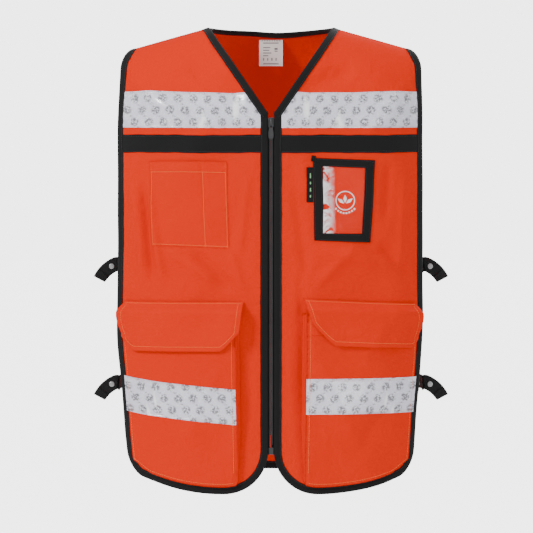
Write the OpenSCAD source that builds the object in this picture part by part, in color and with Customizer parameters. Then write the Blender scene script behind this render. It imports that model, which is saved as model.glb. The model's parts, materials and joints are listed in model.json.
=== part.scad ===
// High-visibility work vest, shown as worn: two front panels that zip together, one back
// panel, black edge binding, reflective tape, a chest pocket, an identity window and two
// flapped cargo pockets. Snap straps close the open sides.
// Frame: +Z up, the front faces -Y, +X is the wearer's left. Z = 0 is the lowest hem point
// and X = Y = 0 is the middle of the body form.

/* [Body form] */
// Half width of the form that the garment hangs on
body_w = 226; // [210:1:240]
// Half depth of the form
body_d = 118; // [105:1:130]
// Squareness of the form's plan outline
body_n = 2.3; // [2.1:0.05:2.6]
// Height above which the form rounds back into the shoulders
chest_z = 520; // [500:5:530]
// How much narrower the form is at the hem, each side
hem_taper = 14; // [0:1:20]

/* [Outline] */
// Distance from the centre line to a front panel's side edge
edge_x = 212.5; // [205:0.5:216]
// Distance from the centre line to the neck end of the shoulder seam
neck_x = 87; // [80:1:95]
// Height of the neck end of the shoulder seam
neck_z = 655; // [648:1:665]
// Distance from the centre line to the armhole end of the shoulder seam
tip_x = 202; // [198:1:204]
// Height of the armhole end of the shoulder seam
tip_z = 622; // [616:1:630]
// Height where the neckline meets the zip
vee_z = 535; // [530:1:540]
// Height of the middle of the back neckline
nape_z = 648; // [640:1:652]
// Height of the back hem
back_hem_z = 20; // [10:1:30]

/* [Cloth and trim] */
// Half thickness of the shell cloth
cloth_t = 0.4; // [0.3:0.05:0.5]
// Width of the edge binding
binding_w = 10.5; // [9:0.5:12]
// Half the gap between the two front bindings, where the zip shows
zip_gap = 4.2; // [4.2:0.1:5]
// Width of the reflective tape
tape_w = 50; // [48:1:50]
// Width of the black chest ribbon
ribbon_w = 25; // [20:1:26]
// Width of the side webbing
webbing_w = 20; // [16:1:22]

/* [Pockets] */
// Height of a cargo pocket's mouth
mouth_z = 252; // [246:1:254]
// Height of a cargo flap's seam
flap_z = 272; // [270:1:276]
// Length of a cargo flap
flap_l = 64; // [58:1:66]
// Fullest depth of a cargo pocket's gusset
gusset_h = 16; // [12:1:18]

/* [Hidden] */

front = -1;                 // which half of the form a point lies on
back = 1;
seam_gap = 0.6;             // the two halves stop this far from the shoulder ridge
trim_in = cloth_t + 0.5;    // inner face of anything sewn onto the cloth
trim_t = 0.8;               // thickness of tape, ribbon and one leaf of binding
trim_out = trim_in + trim_t;
flare_z = 260;              // the form narrows below this height
edge_round = 15;            // how far in from the armhole the shoulder corner starts to round
edge_drop = 24;             // and how far it falls
cloth_in = 2;               // the cloth stops this far inside the binding's outer edge
vee_in = 4.6;               // and this far beside the slanting neckline
side_in = edge_x - 6.4;     // chart position of the binding's inner edge at the side
zip_in = zip_gap + binding_w + 0.5;
hem_low_x = 75;             // the front hem is lowest here
hem_rise = 24;
hem_corner = 21;            // width of the side hem corner
hem_corner_h = 28;
zip_corner = 66;            // width and height of the curve below the zip
zip_corner_h = 62;
zip_y = -body_d;
zip_low = 56;
zip_top = vee_z - 8;
chain_back = 2.5;           // the chain lies this far behind the cloth
tape_z = 514;               // lower edge of the chest tape
ribbon_z = 479;
pocket_tape_z = 113;
tooth_pitch = 5;
slider_z = zip_top - 12;    // lower end of the slider at rest
slider_h = 14;
pull_axis_z = slider_z + 7;
pull_axis_y = zip_y - 2.2;
strap_z_upper = 318;
strap_z_lower = 151;
strap_zs = [strap_z_upper, strap_z_lower];
strap_x = 215;              // the strap's plane, outside the tab's
tab_x = 209;
snap_y = -22;
tail_x = 218;               // where a strap's free end folds outwards
tail_y = -32;
tail_l = 34;
tail_tilt = 28;             // degrees that the free end twists along its length
strap_lift = 3;
pocket_x0 = 50;
pocket_x1 = side_in - 4;
orange = "#ff4713";
black = "#1d1d1f";
silver = "#c9cbd6";
metal = "#8d8f93";

// ---------- numbers ----------
function clamp01(t) = min(1, max(0, t));
function lerp(a, b, t) = a + (b - a) * t;
function ease(t) = let (c = clamp01(t)) c * c * (3 - 2 * c);
function unit(v) = v / norm(v);
function soft_abs(x) = sqrt(x * x + 900);

// ---------- the body form ----------
// A chart point is [x, z]: how far across the form at its widest, and how high.
function form_w(z) = body_w - hem_taper * ease((flare_z - z) / flare_z);
function ridge_z(x) = tip_z + (neck_z - tip_z) * (tip_x - soft_abs(x)) / (tip_x - neck_x);
function lean(x, z) = max(0, (z - chest_z) / (ridge_z(x) - chest_z));
function fullness(x, z, half) =
    pow(1 - pow(abs(x) / body_w, body_n), 2 / body_n) * (1 - pow(lean(x, z), half == front ? 2 : 2.4));
function form_y(x, z, half) = half * body_d * sqrt(max(0, fullness(x, z, half)));
function form_normal(x, z, half) = let (
    step = 0.4,
    slope_x = (fullness(x + step, z, half) - fullness(x - step, z, half)) / (2 * step),
    slope_z = (fullness(x, z + step, half) - fullness(x, z - step, half)) / (2 * step)
) unit([-body_d * body_d * slope_x, 2 * form_y(x, z, half), -body_d * body_d * slope_z]);
function place(p, half, off = 0) = let (
    z = min(p[1], ridge_z(p[0]) - 0.0005)
) [p[0] * form_w(z) / body_w, form_y(p[0], z, half), z] + off * form_normal(p[0], z, half);

// Evenly turned positions across the form, closer together at the side
function across(x0, x1, t) = body_w * sin(lerp(asin(x0 / body_w), asin(x1 / body_w), t));

// The chart height where the form is seam_gap away from the shoulder ridge
function seam_z(x) = let (
    side = body_d * pow(1 - pow(abs(x) / body_w, body_n), 1 / body_n)
) chest_z + (ridge_z(x) - chest_z) * sqrt(1 - pow(seam_gap / side, 2));

// ---------- outlines, as chart heights over x ----------
function round_in(x, start, reach) = 1 - sqrt(max(0, 1 - pow(clamp01((x - start) / reach), 2)));
function front_hem(x) =
    x < zip_gap + zip_corner
    ? zip_corner_h * round_in(-x, -zip_gap - zip_corner, zip_corner)
    : hem_rise * pow(max(0, x - hem_low_x) / (edge_x - 15 - hem_low_x), 2)
      + hem_corner_h * round_in(x, edge_x - hem_corner, hem_corner);
function vee_line(x) = vee_z + (x - zip_gap) * (neck_z - vee_z) / (neck_x - zip_gap);
function shoulder(x) = seam_z(x) - edge_drop * round_in(x, edge_x - edge_round, edge_round);
function back_hem(x) = back_hem_z + hem_corner_h * round_in(abs(x), edge_x - 30, 30);
function back_top(x) =
    abs(x) < neck_x
    ? min(lerp(nape_z, ridge_z(neck_x), pow(x / neck_x, 2)), seam_z(x))
    : shoulder(abs(x));

// ---------- solids ----------
// A closed slab between two grids of points, inner and outer
module slab(inner, outer, half = front) {
    rows = len(inner);
    cols = len(inner[0]);
    n = rows * cols;
    flat = [for (g = [inner, outer]) for (r = g) for (p = r) p];
    quads = concat(
        [for (i = [0 : rows - 2]) for (j = [0 : cols - 2]) let (a = n + i * cols + j)
            [a, a + 1, a + cols + 1, a + cols]],
        [for (i = [0 : rows - 2]) for (j = [0 : cols - 2]) let (a = i * cols + j)
            [a, a + cols, a + cols + 1, a + 1]],
        [for (i = [0 : rows - 2]) let (a = i * cols) [a, n + a, n + a + cols, a + cols]],
        [for (i = [0 : rows - 2]) let (a = i * cols + cols - 1) [a, a + cols, n + a + cols, n + a]],
        [for (j = [0 : cols - 2]) [j, j + 1, n + j + 1, n + j]],
        [for (j = [0 : cols - 2]) let (a = (rows - 1) * cols + j) [a, n + a, n + a + 1, a + 1]]
    );
    triangles = [for (q = quads) each [[q[0], q[1], q[2]], [q[0], q[2], q[3]]]];
    facing = half == front ? triangles : [for (t = triangles) [t[0], t[2], t[1]]];
    polyhedron(flat, facing);
}

// A solid swept through rings of points, closed at both ends
module sweep(rings, half = back) {
    m = len(rings[0]);
    n = len(rings);
    flat = [for (r = rings) for (p = r) p];
    walls = [for (i = [0 : n - 2]) for (j = [0 : m - 1]) let (
        a = i * m + j,
        b = i * m + (j + 1) % m
    ) each [[a, b, b + m], [a, b + m, a + m]]];
    caps = [[for (j = [m - 1 : -1 : 0]) j], [for (j = [0 : m - 1]) (n - 1) * m + j]];
    faces = concat(walls, caps);
    polyhedron(flat, half == back ? faces : [for (f = faces) [for (k = [len(f) - 1 : -1 : 0]) f[k]]]);
}

// Cloth between two chart heights over a run of columns; rows crowd towards the shoulder
function cloth_column(x, low, high) = let (
    turn = high > chest_z ? asin(min(1, (high - chest_z) / (ridge_z(x) - chest_z))) : 0,
    low_rows = 9,
    high_rows = 11
) concat(
    [for (k = [0 : low_rows]) [x, lerp(low, min(high, chest_z), k / low_rows)]],
    turn > 0
    ? [for (k = [1 : high_rows]) [x, chest_z + (ridge_z(x) - chest_z) * sin(turn * k / high_rows)]]
    : []
);
// The cloth reaches the shoulder seam but stops short inside any binding
function cloth_top(x, top) =
    abs(x) < neck_x || abs(x) > edge_x - edge_round ? top - cloth_in : seam_z(x);
function lift(grid, half, off) = [for (column = grid) [for (p = column) place(p, half, off)]];

// A patch of trim on the form: x0 and x1 are functions of height, given at its two ends
function patch_grid(z0, z1, x_low, x_high, cols, rows) = [for (i = [0 : cols]) [for (j = [0 : rows]) let (
    t = j / rows
) [across(lerp(x_low[0], x_high[0], t), lerp(x_low[1], x_high[1], t), i / cols), lerp(z0, z1, t)]]];
module patch(z0, z1, x_low, x_high, off0 = trim_in, off1 = trim_out, cols = 12, rows = 3, half = front) {
    grid = patch_grid(z0, z1, x_low, x_high, cols, rows);
    slab(lift(grid, half, off0), lift(grid, half, off1), half);
}

// ---------- binding ----------
// Steps a chart point inwards over the form, square to the path
function inward(p, tangent, half, s) = let (
    d = half * unit(cross(form_normal(p[0], p[1], half), tangent))
) [p[0] + d[0] * s * body_w / form_w(p[1]), p[1] + d[2] * s];
function walk(p, tangent, half, s) = inward(inward(p, tangent, half, s / 2), tangent, half, s / 2);
function path_tangent(path, i, half) =
    unit(place(path[min(i + 1, len(path) - 1)], half) - place(path[max(i - 1, 0)], half));
// A folded strip: two leaves, joined round the cloth's edge. The inner leaf hangs a little
// looser over the shoulder, where the form turns.
module binding(path, half) {
    wall = 1.2;
    slack = function(p) 1.4 * ease((p[1] - zip_top - 3) / 16);
    sweep([for (i = [0 : len(path) - 1]) let (
        t = path_tangent(path, i, half),
        edge = path[i],
        root = walk(path[i], t, half, wall),
        tip = walk(path[i], t, half, binding_w)
    ) [
        place(edge, half, trim_out), place(tip, half, trim_out), place(tip, half, trim_in),
        place(root, half, trim_in), place(root, half, -trim_in - slack(edge)),
        place(tip, half, -trim_in - slack(edge)), place(tip, half, -trim_out - slack(edge)),
        place(edge, half, -trim_out - slack(edge))
    ]], half);
}
function front_path() = concat(
    [for (t = [0 : 0.2 : 0.999]) let (x = edge_x - edge_round + edge_round * sin(90 * t)) [x, shoulder(x)]],
    [for (z = [shoulder(edge_x) : -8 : chest_z]) [edge_x, z]],
    [for (t = [0 : 1 / 12 : 1]) [edge_x, lerp(chest_z - 8, front_hem(edge_x) + 8, t)]],
    [for (t = [0 : 0.2 : 0.99]) let (x = edge_x - hem_corner * (1 - cos(90 * t))) [x, front_hem(x)]],
    [for (t = [0 : 1 / 8 : 0.99]) let (x = lerp(edge_x - hem_corner, zip_gap + zip_corner, t)) [x, front_hem(x)]],
    [for (t = [0 : 1 / 9 : 0.99]) let (x = zip_gap + zip_corner * (1 - sin(90 * t))) [x, front_hem(x)]],
    [for (t = [0 : 1 / 10 : 1]) [zip_gap, lerp(zip_corner_h, vee_z - 6, t)]],
    [for (t = [0.03 : 0.0746 : 0.999]) let (
        x = zip_gap + (neck_x - zip_gap) * sin(90 * t)
    ) [x, min(vee_line(x), seam_z(x))]]
);
function back_edge_half() = concat(
    [for (t = [0 : 0.2 : 0.999]) let (x = edge_x - edge_round + edge_round * sin(90 * t)) [x, shoulder(x)]],
    [for (z = [shoulder(edge_x) : -8 : chest_z]) [edge_x, z]],
    [for (t = [0 : 1 / 10 : 1]) [edge_x, lerp(chest_z - 8, back_hem(edge_x) + 8, t)]],
    [for (t = [0 : 0.2 : 0.99]) let (x = edge_x - 30 * (1 - cos(90 * t))) [x, back_hem(x)]],
    [for (t = [0 : 1 / 9 : 0.99]) let (x = across(edge_x - 30, 0, t)) [x, back_hem(x)]]
);
function mirrored(path) = [for (i = [len(path) - 1 : -1 : 0]) [-path[i][0], path[i][1]]];
function back_edge_path() = concat(back_edge_half(), [[0, back_hem_z]], mirrored(back_edge_half()));
function nape_path() = let (
    half_path = [for (t = [0 : 1 / 12 : 1]) let (x = neck_x * sin(90 * (1 - t))) [x, back_top(x * 0.9999)]]
) concat([for (p = half_path) [-p[0], p[1]]], [for (i = [len(half_path) - 2 : -1 : 0]) half_path[i]]);

// ---------- front panels, drawn for the wearer's left; the right is its mirror image ----------
module front_panel() {
    xs = concat(
        [for (k = [0 : 9]) lerp(zip_gap + cloth_in, neck_x + vee_in, sin(10 * k))],
        [for (k = [1 : 8]) across(neck_x + vee_in, edge_x - cloth_in, k / 8)]
    );
    low = function(x) front_hem(x) + cloth_in * (x < 9 ? 2.5 : 1);
    top = function(x) x < neck_x + vee_in ? min(vee_line(x - vee_in), seam_z(x)) : cloth_top(x, shoulder(x));
    grid = [for (x = xs) cloth_column(x, low(x), top(x))];
    slab(lift(grid, front, -cloth_t), lift(grid, front, cloth_t));
}

function vee_inset(z) = zip_gap + (z - vee_z) * (neck_x - zip_gap) / (neck_z - vee_z) + binding_w * 1.24;
module chest_tape() {
    patch(tape_z, tape_z + tape_w, [zip_in, side_in], [max(zip_in, vee_inset(tape_z + tape_w)) + 1, side_in]);
}
module chest_ribbon() patch(ribbon_z, ribbon_z + ribbon_w, [zip_in, side_in], [zip_in, side_in], rows = 2);

// ---------- zip ----------
module zip_tape() {
    translate([1.4, zip_y + chain_back - cloth_t, zip_low]) cube([13, 2 * cloth_t, zip_top - zip_low]);
}
// One row of teeth as a comb, with its top stop
module zip_row(shift) {
    teeth = floor((slider_z + 6 - zip_low - 30) / tooth_pitch);
    tooth = 2;
    spine = 1.6;
    reach = -0.9;
    start = zip_low + 28 + shift;
    comb = concat(
        [[spine + 1, start], [spine + 1, start + teeth * tooth_pitch]],
        [for (k = [teeth - 1 : -1 : 0]) let (z = start + k * tooth_pitch) each [
            [spine, z + tooth + 0.4], [reach, z + tooth], [reach, z + 0.3], [spine, z]
        ]]
    );
    for (face = [-1.3, 0.5]) translate([0, zip_y + chain_back + face + 0.8, 0])
        rotate([90, 0, 0]) linear_extrude(height = 0.8) polygon(comb);
    translate([0.8, zip_y + chain_back - 1.3, start + teeth * tooth_pitch + 0.6]) cube([1.8, 0.8, 3]);
}
module zip_box() {
    translate([-3.4, zip_y + 0.2, zip_low]) cube([7.2, 1.9, 10]);
}
module zip_pin() {
    translate([0.9, zip_y + 0.9, zip_low + 10.5]) cube([1.6, 1.1, 17]);
}
module zip_slider() {
    plate_t = 1.5;
    front_face = zip_y - 0.6;
    difference() {
        union() {
            translate([-3.6, front_face, slider_z]) cube([7.2, plate_t, slider_h]);
            translate([-5, zip_y + 4.1, slider_z]) cube([10, plate_t, slider_h]);
            translate([-0.5, front_face, slider_z + 9]) cube([1, 5, 5]);
            for (side = [-1, 1]) {
                translate([side * 3.2 - 0.4, front_face + 1, slider_z]) cube([0.8, 1.3, slider_h]);
                translate([side * 3.2 - 0.4, zip_y + 3.2, slider_z]) cube([0.8, 1.2, slider_h]);
            }
        }
        for (side = [-1, 1]) translate([side * 5.4, zip_y, slider_z + slider_h])
            rotate([90, 0, 0]) cylinder(h = 20, r = 3, center = true, $fn = 32);
    }
    translate([-0.9, front_face - 3.4, slider_z + 2]) cube([1.8, 0.9, 10]);
    for (z = [slider_z + 2, slider_z + 11]) translate([-0.9, front_face - 2.6, z]) cube([1.8, 2.8, 1]);
}
module zip_pull() {
    translate([-2.6, pull_axis_y, pull_axis_z]) rotate([0, 90, 0]) cylinder(h = 5.2, r = 0.6, $fn = 24);
    difference() {
        translate([-2.6, pull_axis_y - 0.6, pull_axis_z - 24]) cube([5.2, 1.2, 24]);
        translate([-1.4, pull_axis_y - 2, pull_axis_z - 6.5]) cube([2.8, 4, 7]);
        translate([0, pull_axis_y, pull_axis_z - 20.5])
            rotate([90, 0, 0]) cylinder(h = 4, r = 1.3, center = true, $fn = 24);
    }
}

// ---------- cargo pocket ----------
function pocket_u(x) = clamp01((x - pocket_x0) / (pocket_x1 - pocket_x0));
function pocket_v(z) = clamp01(z / mouth_z);
function pocket_h(x, z) = let (
    v = pocket_v(z),
    inner = 5 + 8 * v + (gusset_h - 8) * sin(180 * v)
) 3.5 + (1 - pow(pocket_u(x), 2)) * (inner - 3.5);
function pocket_low(x) = front_hem(x) + binding_w + 2.5 + 6 * ease((x - 176) / 20);
function pocket_grid(cols = 9, rows = 9) = [for (i = [0 : cols]) let (
    x = across(pocket_x0, pocket_x1, i / cols)
) [for (j = [0 : rows]) [x, lerp(pocket_low(x), mouth_z, j / rows)]]];
function over_pocket(grid, off) = [for (c = grid) [for (p = c) place(p, front, pocket_h(p[0], p[1]) + off)]];
module cargo_pocket() {
    grid = pocket_grid();
    slab(over_pocket(grid, 0), over_pocket(grid, 1));
}
// The wall that joins the pocket to the panel, down one side, along the hem and up the other
module cargo_gusset() {
    wall = 1;
    path = concat(
        [for (t = [0 : 1 / 8 : 1]) [pocket_x0, lerp(mouth_z, pocket_low(pocket_x0) + 4, t)]],
        [for (t = [0 : 1 / 9 : 1]) let (x = across(pocket_x0 + 3, pocket_x1 - 3, t)) [x, pocket_low(x)]],
        [for (t = [0 : 1 / 8 : 1]) [pocket_x1, lerp(pocket_low(pocket_x1) + 4, mouth_z, t)]]
    );
    sweep([for (i = [0 : len(path) - 1]) let (
        p = path[i],
        q = walk(p, path_tangent(path, i, front), front, wall),
        top = pocket_h(p[0], p[1]) - 0.3
    ) [place(p, front, trim_in), place(q, front, trim_in), place(q, front, top), place(p, front, top)]]);
}
module pocket_tape(low, slant) {
    grid = [for (i = [0 : 9]) let (x = across(pocket_x0 - 1, pocket_x1, i / 9)) [for (j = [0 : 3])
        [x, low + slant * pocket_u(x) + tape_w * j / 3]]];
    slab(over_pocket(grid, 1.4), over_pocket(grid, 2.1));
}
fastener_xs = [[76, 112], [142, 176]];
module pocket_loop() {
    for (x = fastener_xs) {
        grid = [for (i = [0 : 3]) [for (j = [0 : 2]) [lerp(x[0], x[1], i / 3), 221 + 10 * j]]];
        slab(over_pocket(grid, 1.4), over_pocket(grid, 2.2));
    }
}
// A flap point at chart x, a distance r below the seam, and off above the pocket
function flap_off(x, r) = 3 + (pocket_h(x, flap_z - r) + 2) * ease(r / 18);
function flap_x(side, r) = side == 0
    ? 46 + 30 * pow(clamp01((r - 38) / 26), 1)
    : edge_x - 12 + 6 * sin(90 * clamp01(r / 24)) - 22 * clamp01((r - 32) / 32);
module flap_layer(r0, r1, off0, off1, xs = undef, cols = 10, rows = 7) {
    grid = [for (i = [0 : cols]) [for (j = [rows : -1 : 0]) let (
        r = lerp(r0, r1, j / rows),
        x = xs == undef ? across(flap_x(0, r), flap_x(1, r), i / cols) : lerp(xs[0], xs[1], i / cols)
    ) [x, r]]];
    slab(
        [for (c = grid) [for (p = c) place([p[0], flap_z - p[1]], front, flap_off(p[0], p[1]) + off0)]],
        [for (c = grid) [for (p = c) place([p[0], flap_z - p[1]], front, flap_off(p[0], p[1]) + off1)]]
    );
}
module cargo_flap() flap_layer(1.5, flap_l, 0, 1.8);
module flap_hook() for (x = fastener_xs) flap_layer(30, 50, -1.3, -0.4, xs = x, cols = 3, rows = 2);

// ---------- chest pocket and identity window ----------
module chest_pocket() {
    patch(347, 466, [64, 172], [62, 170], off1 = trim_out, cols = 8, rows = 6);
    patch(449, 461, [64, 170], [64, 170], off0 = trim_out + 0.3, off1 = trim_out + 0.9, cols = 8, rows = 1);
}
module id_frame() {
    x0 = 59;
    x1 = 142;
    z0 = 356;
    z1 = 472;
    rim = 12;
    for (x = [[x0, x0 + rim], [x1 - rim, x1]]) patch(z0, z1, x, x, off1 = trim_in + 1.6, cols = 1, rows = 6);
    for (z = [[z0, z0 + rim], [z1 - rim, z1]])
        patch(z[0], z[1], [x0 + rim + 0.2, x1 - rim - 0.2], [x0 + rim + 0.2, x1 - rim - 0.2],
            off1 = trim_in + 1.6, cols = 5, rows = 1);
}
module id_window() patch(368.3, 459.7, [71.3, 129.7], [71.3, 129.7], off1 = trim_in + 0.4, cols = 5, rows = 4);
module side_tag() patch(410, 459, [49.5, 58.6], [49.5, 58.6], off1 = trim_in + 1, cols = 1, rows = 3);

// ---------- side straps ----------
// Webbing of one height that follows a path seen from above
module webbing(path, z, height = webbing_w) {
    half_t = 0.6;
    normals = [for (i = [0 : len(path) - 1]) let (
        d = unit(path[min(i + 1, len(path) - 1)] - path[max(i - 1, 0)])
    ) [d[1], -d[0]]];
    face = function(side) [for (i = [0 : len(path) - 1]) [for (level = [-0.5, 0.5])
        let (p = path[i] + side * half_t * normals[i]) [p[0], p[1], z + level * height]]];
    slab(face(-1), face(1), back);
}
function under_edge(z, half) = [for (x = [188, 196, 204]) let (p = place([x, z], half, -3.4)) [p[0], p[1]]];
// From inside the back panel's edge forward to the snap
module side_strap(z) {
    webbing(concat(under_edge(z, back), [[strap_x - 2, 38], [strap_x, 26], [strap_x, snap_y - 5]]), z);
}
// The short tab inside a front panel's edge that the strap snaps onto
module front_tab(z) {
    webbing(concat(under_edge(z, front), [[tab_x, -38], [tab_x, snap_y + 8]]), z);
}
module tab_snaps() for (z = strap_zs) translate([tab_x, snap_y, z]) rotate([0, 90, 0]) {
    translate([0, 0, -1.9]) cylinder(h = 1.2, r = 4.5, $fn = 48);
    translate([0, 0, 0.7]) cylinder(h = 2, r = 3, $fn = 48);
}
module strap_snaps() for (z = strap_zs)
    translate([strap_x + 0.7, snap_y, z]) rotate([0, 90, 0]) cylinder(h = 1.1, r = 4.5, $fn = 48);
// The strap's free end droops outwards from its fold, past the snap
tail_rows = 8;
tail_step = tail_l / tail_rows;
tail_points = [for (k = [0 : tail_rows]) let (s = k * tail_step, droop = tail_droop(s)) [
    tail_x + (k == 0 ? 0 : tail_sum(k, 0)), tail_y, strap_lift - (k == 0 ? 0 : tail_sum(k, 90)), droop
]];
function tail_droop(s) = lerp(22, 62, s / tail_l);
function tail_sum(k, turn) = tail_step * cos(tail_droop((k - 0.5) * tail_step) - turn)
    + (k == 1 ? 0 : tail_sum(k - 1, turn));
function tail_face(off, first = 0, last = tail_rows, span = 1) = [for (k = [first : last]) let (
    p = tail_points[k],
    tilt = tail_tilt * k / tail_rows
) [for (side = [-0.5, 0.5]) let (
    w = side * webbing_w * span
) [
    p[0] + w * cos(tilt) * sin(p[3]),
    p[1] + w * sin(tilt) - off * cos(tilt),
    p[2] + w * cos(tilt) * cos(p[3])
]]];
module strap_tail(z) translate([0, 0, z]) {
    slab(tail_face(-0.6), tail_face(0.6));
    slab(tail_face(0.7, 6, 7), tail_face(1.7, 6, 7));
}
module tail_snap(z) {
    p = tail_points[1];
    translate([p[0], p[1] - 0.9, p[2] + z]) rotate([90, 0, 0]) cylinder(h = 1.2, r = 4, $fn = 48);
}

// ---------- back ----------
module back_panel() {
    side = concat(
        [for (k = [0 : 5]) (neck_x - 4) * sin(18 * k)],
        [for (k = [0 : 8]) across(neck_x + 3, edge_x - cloth_in, k / 8)]
    );
    xs = concat([for (k = [len(side) - 1 : -1 : 1]) -side[k]], side);
    grid = [for (x = xs) cloth_column(x, back_hem(x) + cloth_in, cloth_top(x, back_top(x)))];
    slab(lift(grid, back, -cloth_t), lift(grid, back, cloth_t), back);
}
module back_patch(z0, z1, rows) {
    grid = [for (i = [-12 : 12]) [for (j = [0 : rows])
        [sign(i) * across(0, side_in, abs(i) / 12), lerp(z0, z1, j / rows)]]];
    slab(lift(grid, back, trim_in), lift(grid, back, trim_out), back);
}
label_w = 34;
label_h = 38;
label_top = nape_z - binding_w + 0.5;
label_y = form_y(0, label_top, back) - 3.6;
module neck_label() {
    translate([-label_w / 2, label_y, label_top - label_h]) cube([label_w, 0.6, label_h]);
}

// ---------- every node ----------
module right() mirror([1, 0, 0]) children();

color(orange) back_panel();
color(black) binding(nape_path(), back);  // back_neck_binding
color(black) binding(back_edge_path(), back);  // back_edge_binding
color(silver) back_patch(tape_z, tape_z + tape_w, 3);  // back_chest_tape
color(black) back_patch(ribbon_z, ribbon_z + ribbon_w, 2);  // back_chest_ribbon
color(silver) back_patch(pocket_tape_z + 20, pocket_tape_z + 20 + tape_w, 3);  // back_waist_tape
color("white") neck_label();
color(black) side_strap(strap_z_upper);  // side_strap_upper_left
color(black) side_strap(strap_z_lower);  // side_strap_lower_left
color(metal) strap_snaps();  // strap_snaps_left
color(metal) right() strap_snaps();  // strap_snaps_right
color(black) right() side_strap(strap_z_upper);  // side_strap_upper_right
color(black) right() side_strap(strap_z_lower);  // side_strap_lower_right

color(orange) front_panel();  // front_panel_left
color(black) binding(front_path(), front);  // edge_binding_left
color(black) zip_tape();  // zip_tape_left
color(black) zip_row(0);  // zip_teeth_left
color(black) zip_box();
color(silver) chest_tape();  // chest_tape_left
color(black) chest_ribbon();  // chest_ribbon_left
color("lightgrey", 0.5) id_window();
color(black) id_frame();
color(black) side_tag();
color(orange) cargo_pocket();  // cargo_pocket_left
color(orange) cargo_gusset();  // cargo_gusset_left
color(silver) pocket_tape(pocket_tape_z, 0);  // pocket_tape_left
color(black) pocket_loop();  // pocket_loop_left
color(orange) cargo_flap();  // cargo_flap_left
color(black) flap_hook();  // flap_hook_left
color(black) front_tab(strap_z_upper);  // front_tab_upper_left
color(black) front_tab(strap_z_lower);  // front_tab_lower_left
color(metal) tab_snaps();  // tab_snaps_left
color(black) strap_tail(strap_z_upper);  // strap_tail_upper_left
color(black) strap_tail(strap_z_lower);  // strap_tail_lower_left
color(metal) tail_snap(strap_z_upper);  // tail_snap_upper_left
color(metal) tail_snap(strap_z_lower);  // tail_snap_lower_left

color(orange) right() front_panel();  // front_panel_right
color(black) right() binding(front_path(), front);  // edge_binding_right
color(black) right() zip_tape();  // zip_tape_right
color(black) right() zip_row(tooth_pitch / 2);  // zip_teeth_right
color(black) right() zip_pin();
color(silver) right() chest_tape();  // chest_tape_right
color(black) right() chest_ribbon();  // chest_ribbon_right
color(orange) right() chest_pocket();
color(orange) right() cargo_pocket();  // cargo_pocket_right
color(orange) right() cargo_gusset();  // cargo_gusset_right
color(silver) right() pocket_tape(98, 17);  // pocket_tape_right
color(black) right() pocket_loop();  // pocket_loop_right
color(orange) right() cargo_flap();  // cargo_flap_right
color(black) right() flap_hook();  // flap_hook_right
color(black) right() front_tab(strap_z_upper);  // front_tab_upper_right
color(black) right() front_tab(strap_z_lower);  // front_tab_lower_right
color(metal) right() tab_snaps();  // tab_snaps_right
color(black) right() strap_tail(strap_z_upper);  // strap_tail_upper_right
color(black) right() strap_tail(strap_z_lower);  // strap_tail_lower_right
color(metal) right() tail_snap(strap_z_upper);  // tail_snap_upper_right
color(metal) right() tail_snap(strap_z_lower);  // tail_snap_lower_right

color(black) zip_slider();
color(black) zip_pull();
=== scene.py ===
"""High-visibility work vest, built as an add-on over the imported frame."""

import json
import math

import bmesh
import bpy
import numpy as np
from mathutils import Matrix, Vector

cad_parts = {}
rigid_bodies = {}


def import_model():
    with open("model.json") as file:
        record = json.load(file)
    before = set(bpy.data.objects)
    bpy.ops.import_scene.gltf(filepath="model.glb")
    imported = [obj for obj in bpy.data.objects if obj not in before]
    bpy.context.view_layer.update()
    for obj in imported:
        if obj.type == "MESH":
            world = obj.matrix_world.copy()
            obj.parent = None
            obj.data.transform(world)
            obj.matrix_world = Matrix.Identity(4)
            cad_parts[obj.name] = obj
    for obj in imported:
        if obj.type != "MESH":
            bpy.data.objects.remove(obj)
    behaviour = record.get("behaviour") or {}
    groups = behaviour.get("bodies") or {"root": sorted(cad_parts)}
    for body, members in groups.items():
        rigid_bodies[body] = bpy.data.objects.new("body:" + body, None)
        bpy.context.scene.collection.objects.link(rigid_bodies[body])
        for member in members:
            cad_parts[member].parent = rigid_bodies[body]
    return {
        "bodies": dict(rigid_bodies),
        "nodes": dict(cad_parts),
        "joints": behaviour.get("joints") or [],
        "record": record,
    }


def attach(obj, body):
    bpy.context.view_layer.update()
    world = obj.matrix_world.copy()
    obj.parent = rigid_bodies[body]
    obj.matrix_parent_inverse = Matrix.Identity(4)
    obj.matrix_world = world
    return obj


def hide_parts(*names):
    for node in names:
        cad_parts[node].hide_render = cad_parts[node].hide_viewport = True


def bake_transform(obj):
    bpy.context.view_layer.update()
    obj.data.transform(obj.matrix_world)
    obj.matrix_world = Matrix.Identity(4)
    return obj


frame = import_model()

bl_info = {
    "name": "High-visibility vest",
    "version": (1, 0, 0),
    "blender": (4, 5, 0),
    "location": "3D View > Sidebar > Vest",
    "description": "Builds an orange work vest with reflective bands, pockets, zip and side straps",
    "category": "Add Mesh",
}

MM = 0.001
FRONT, BACK = -1, 1

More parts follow.
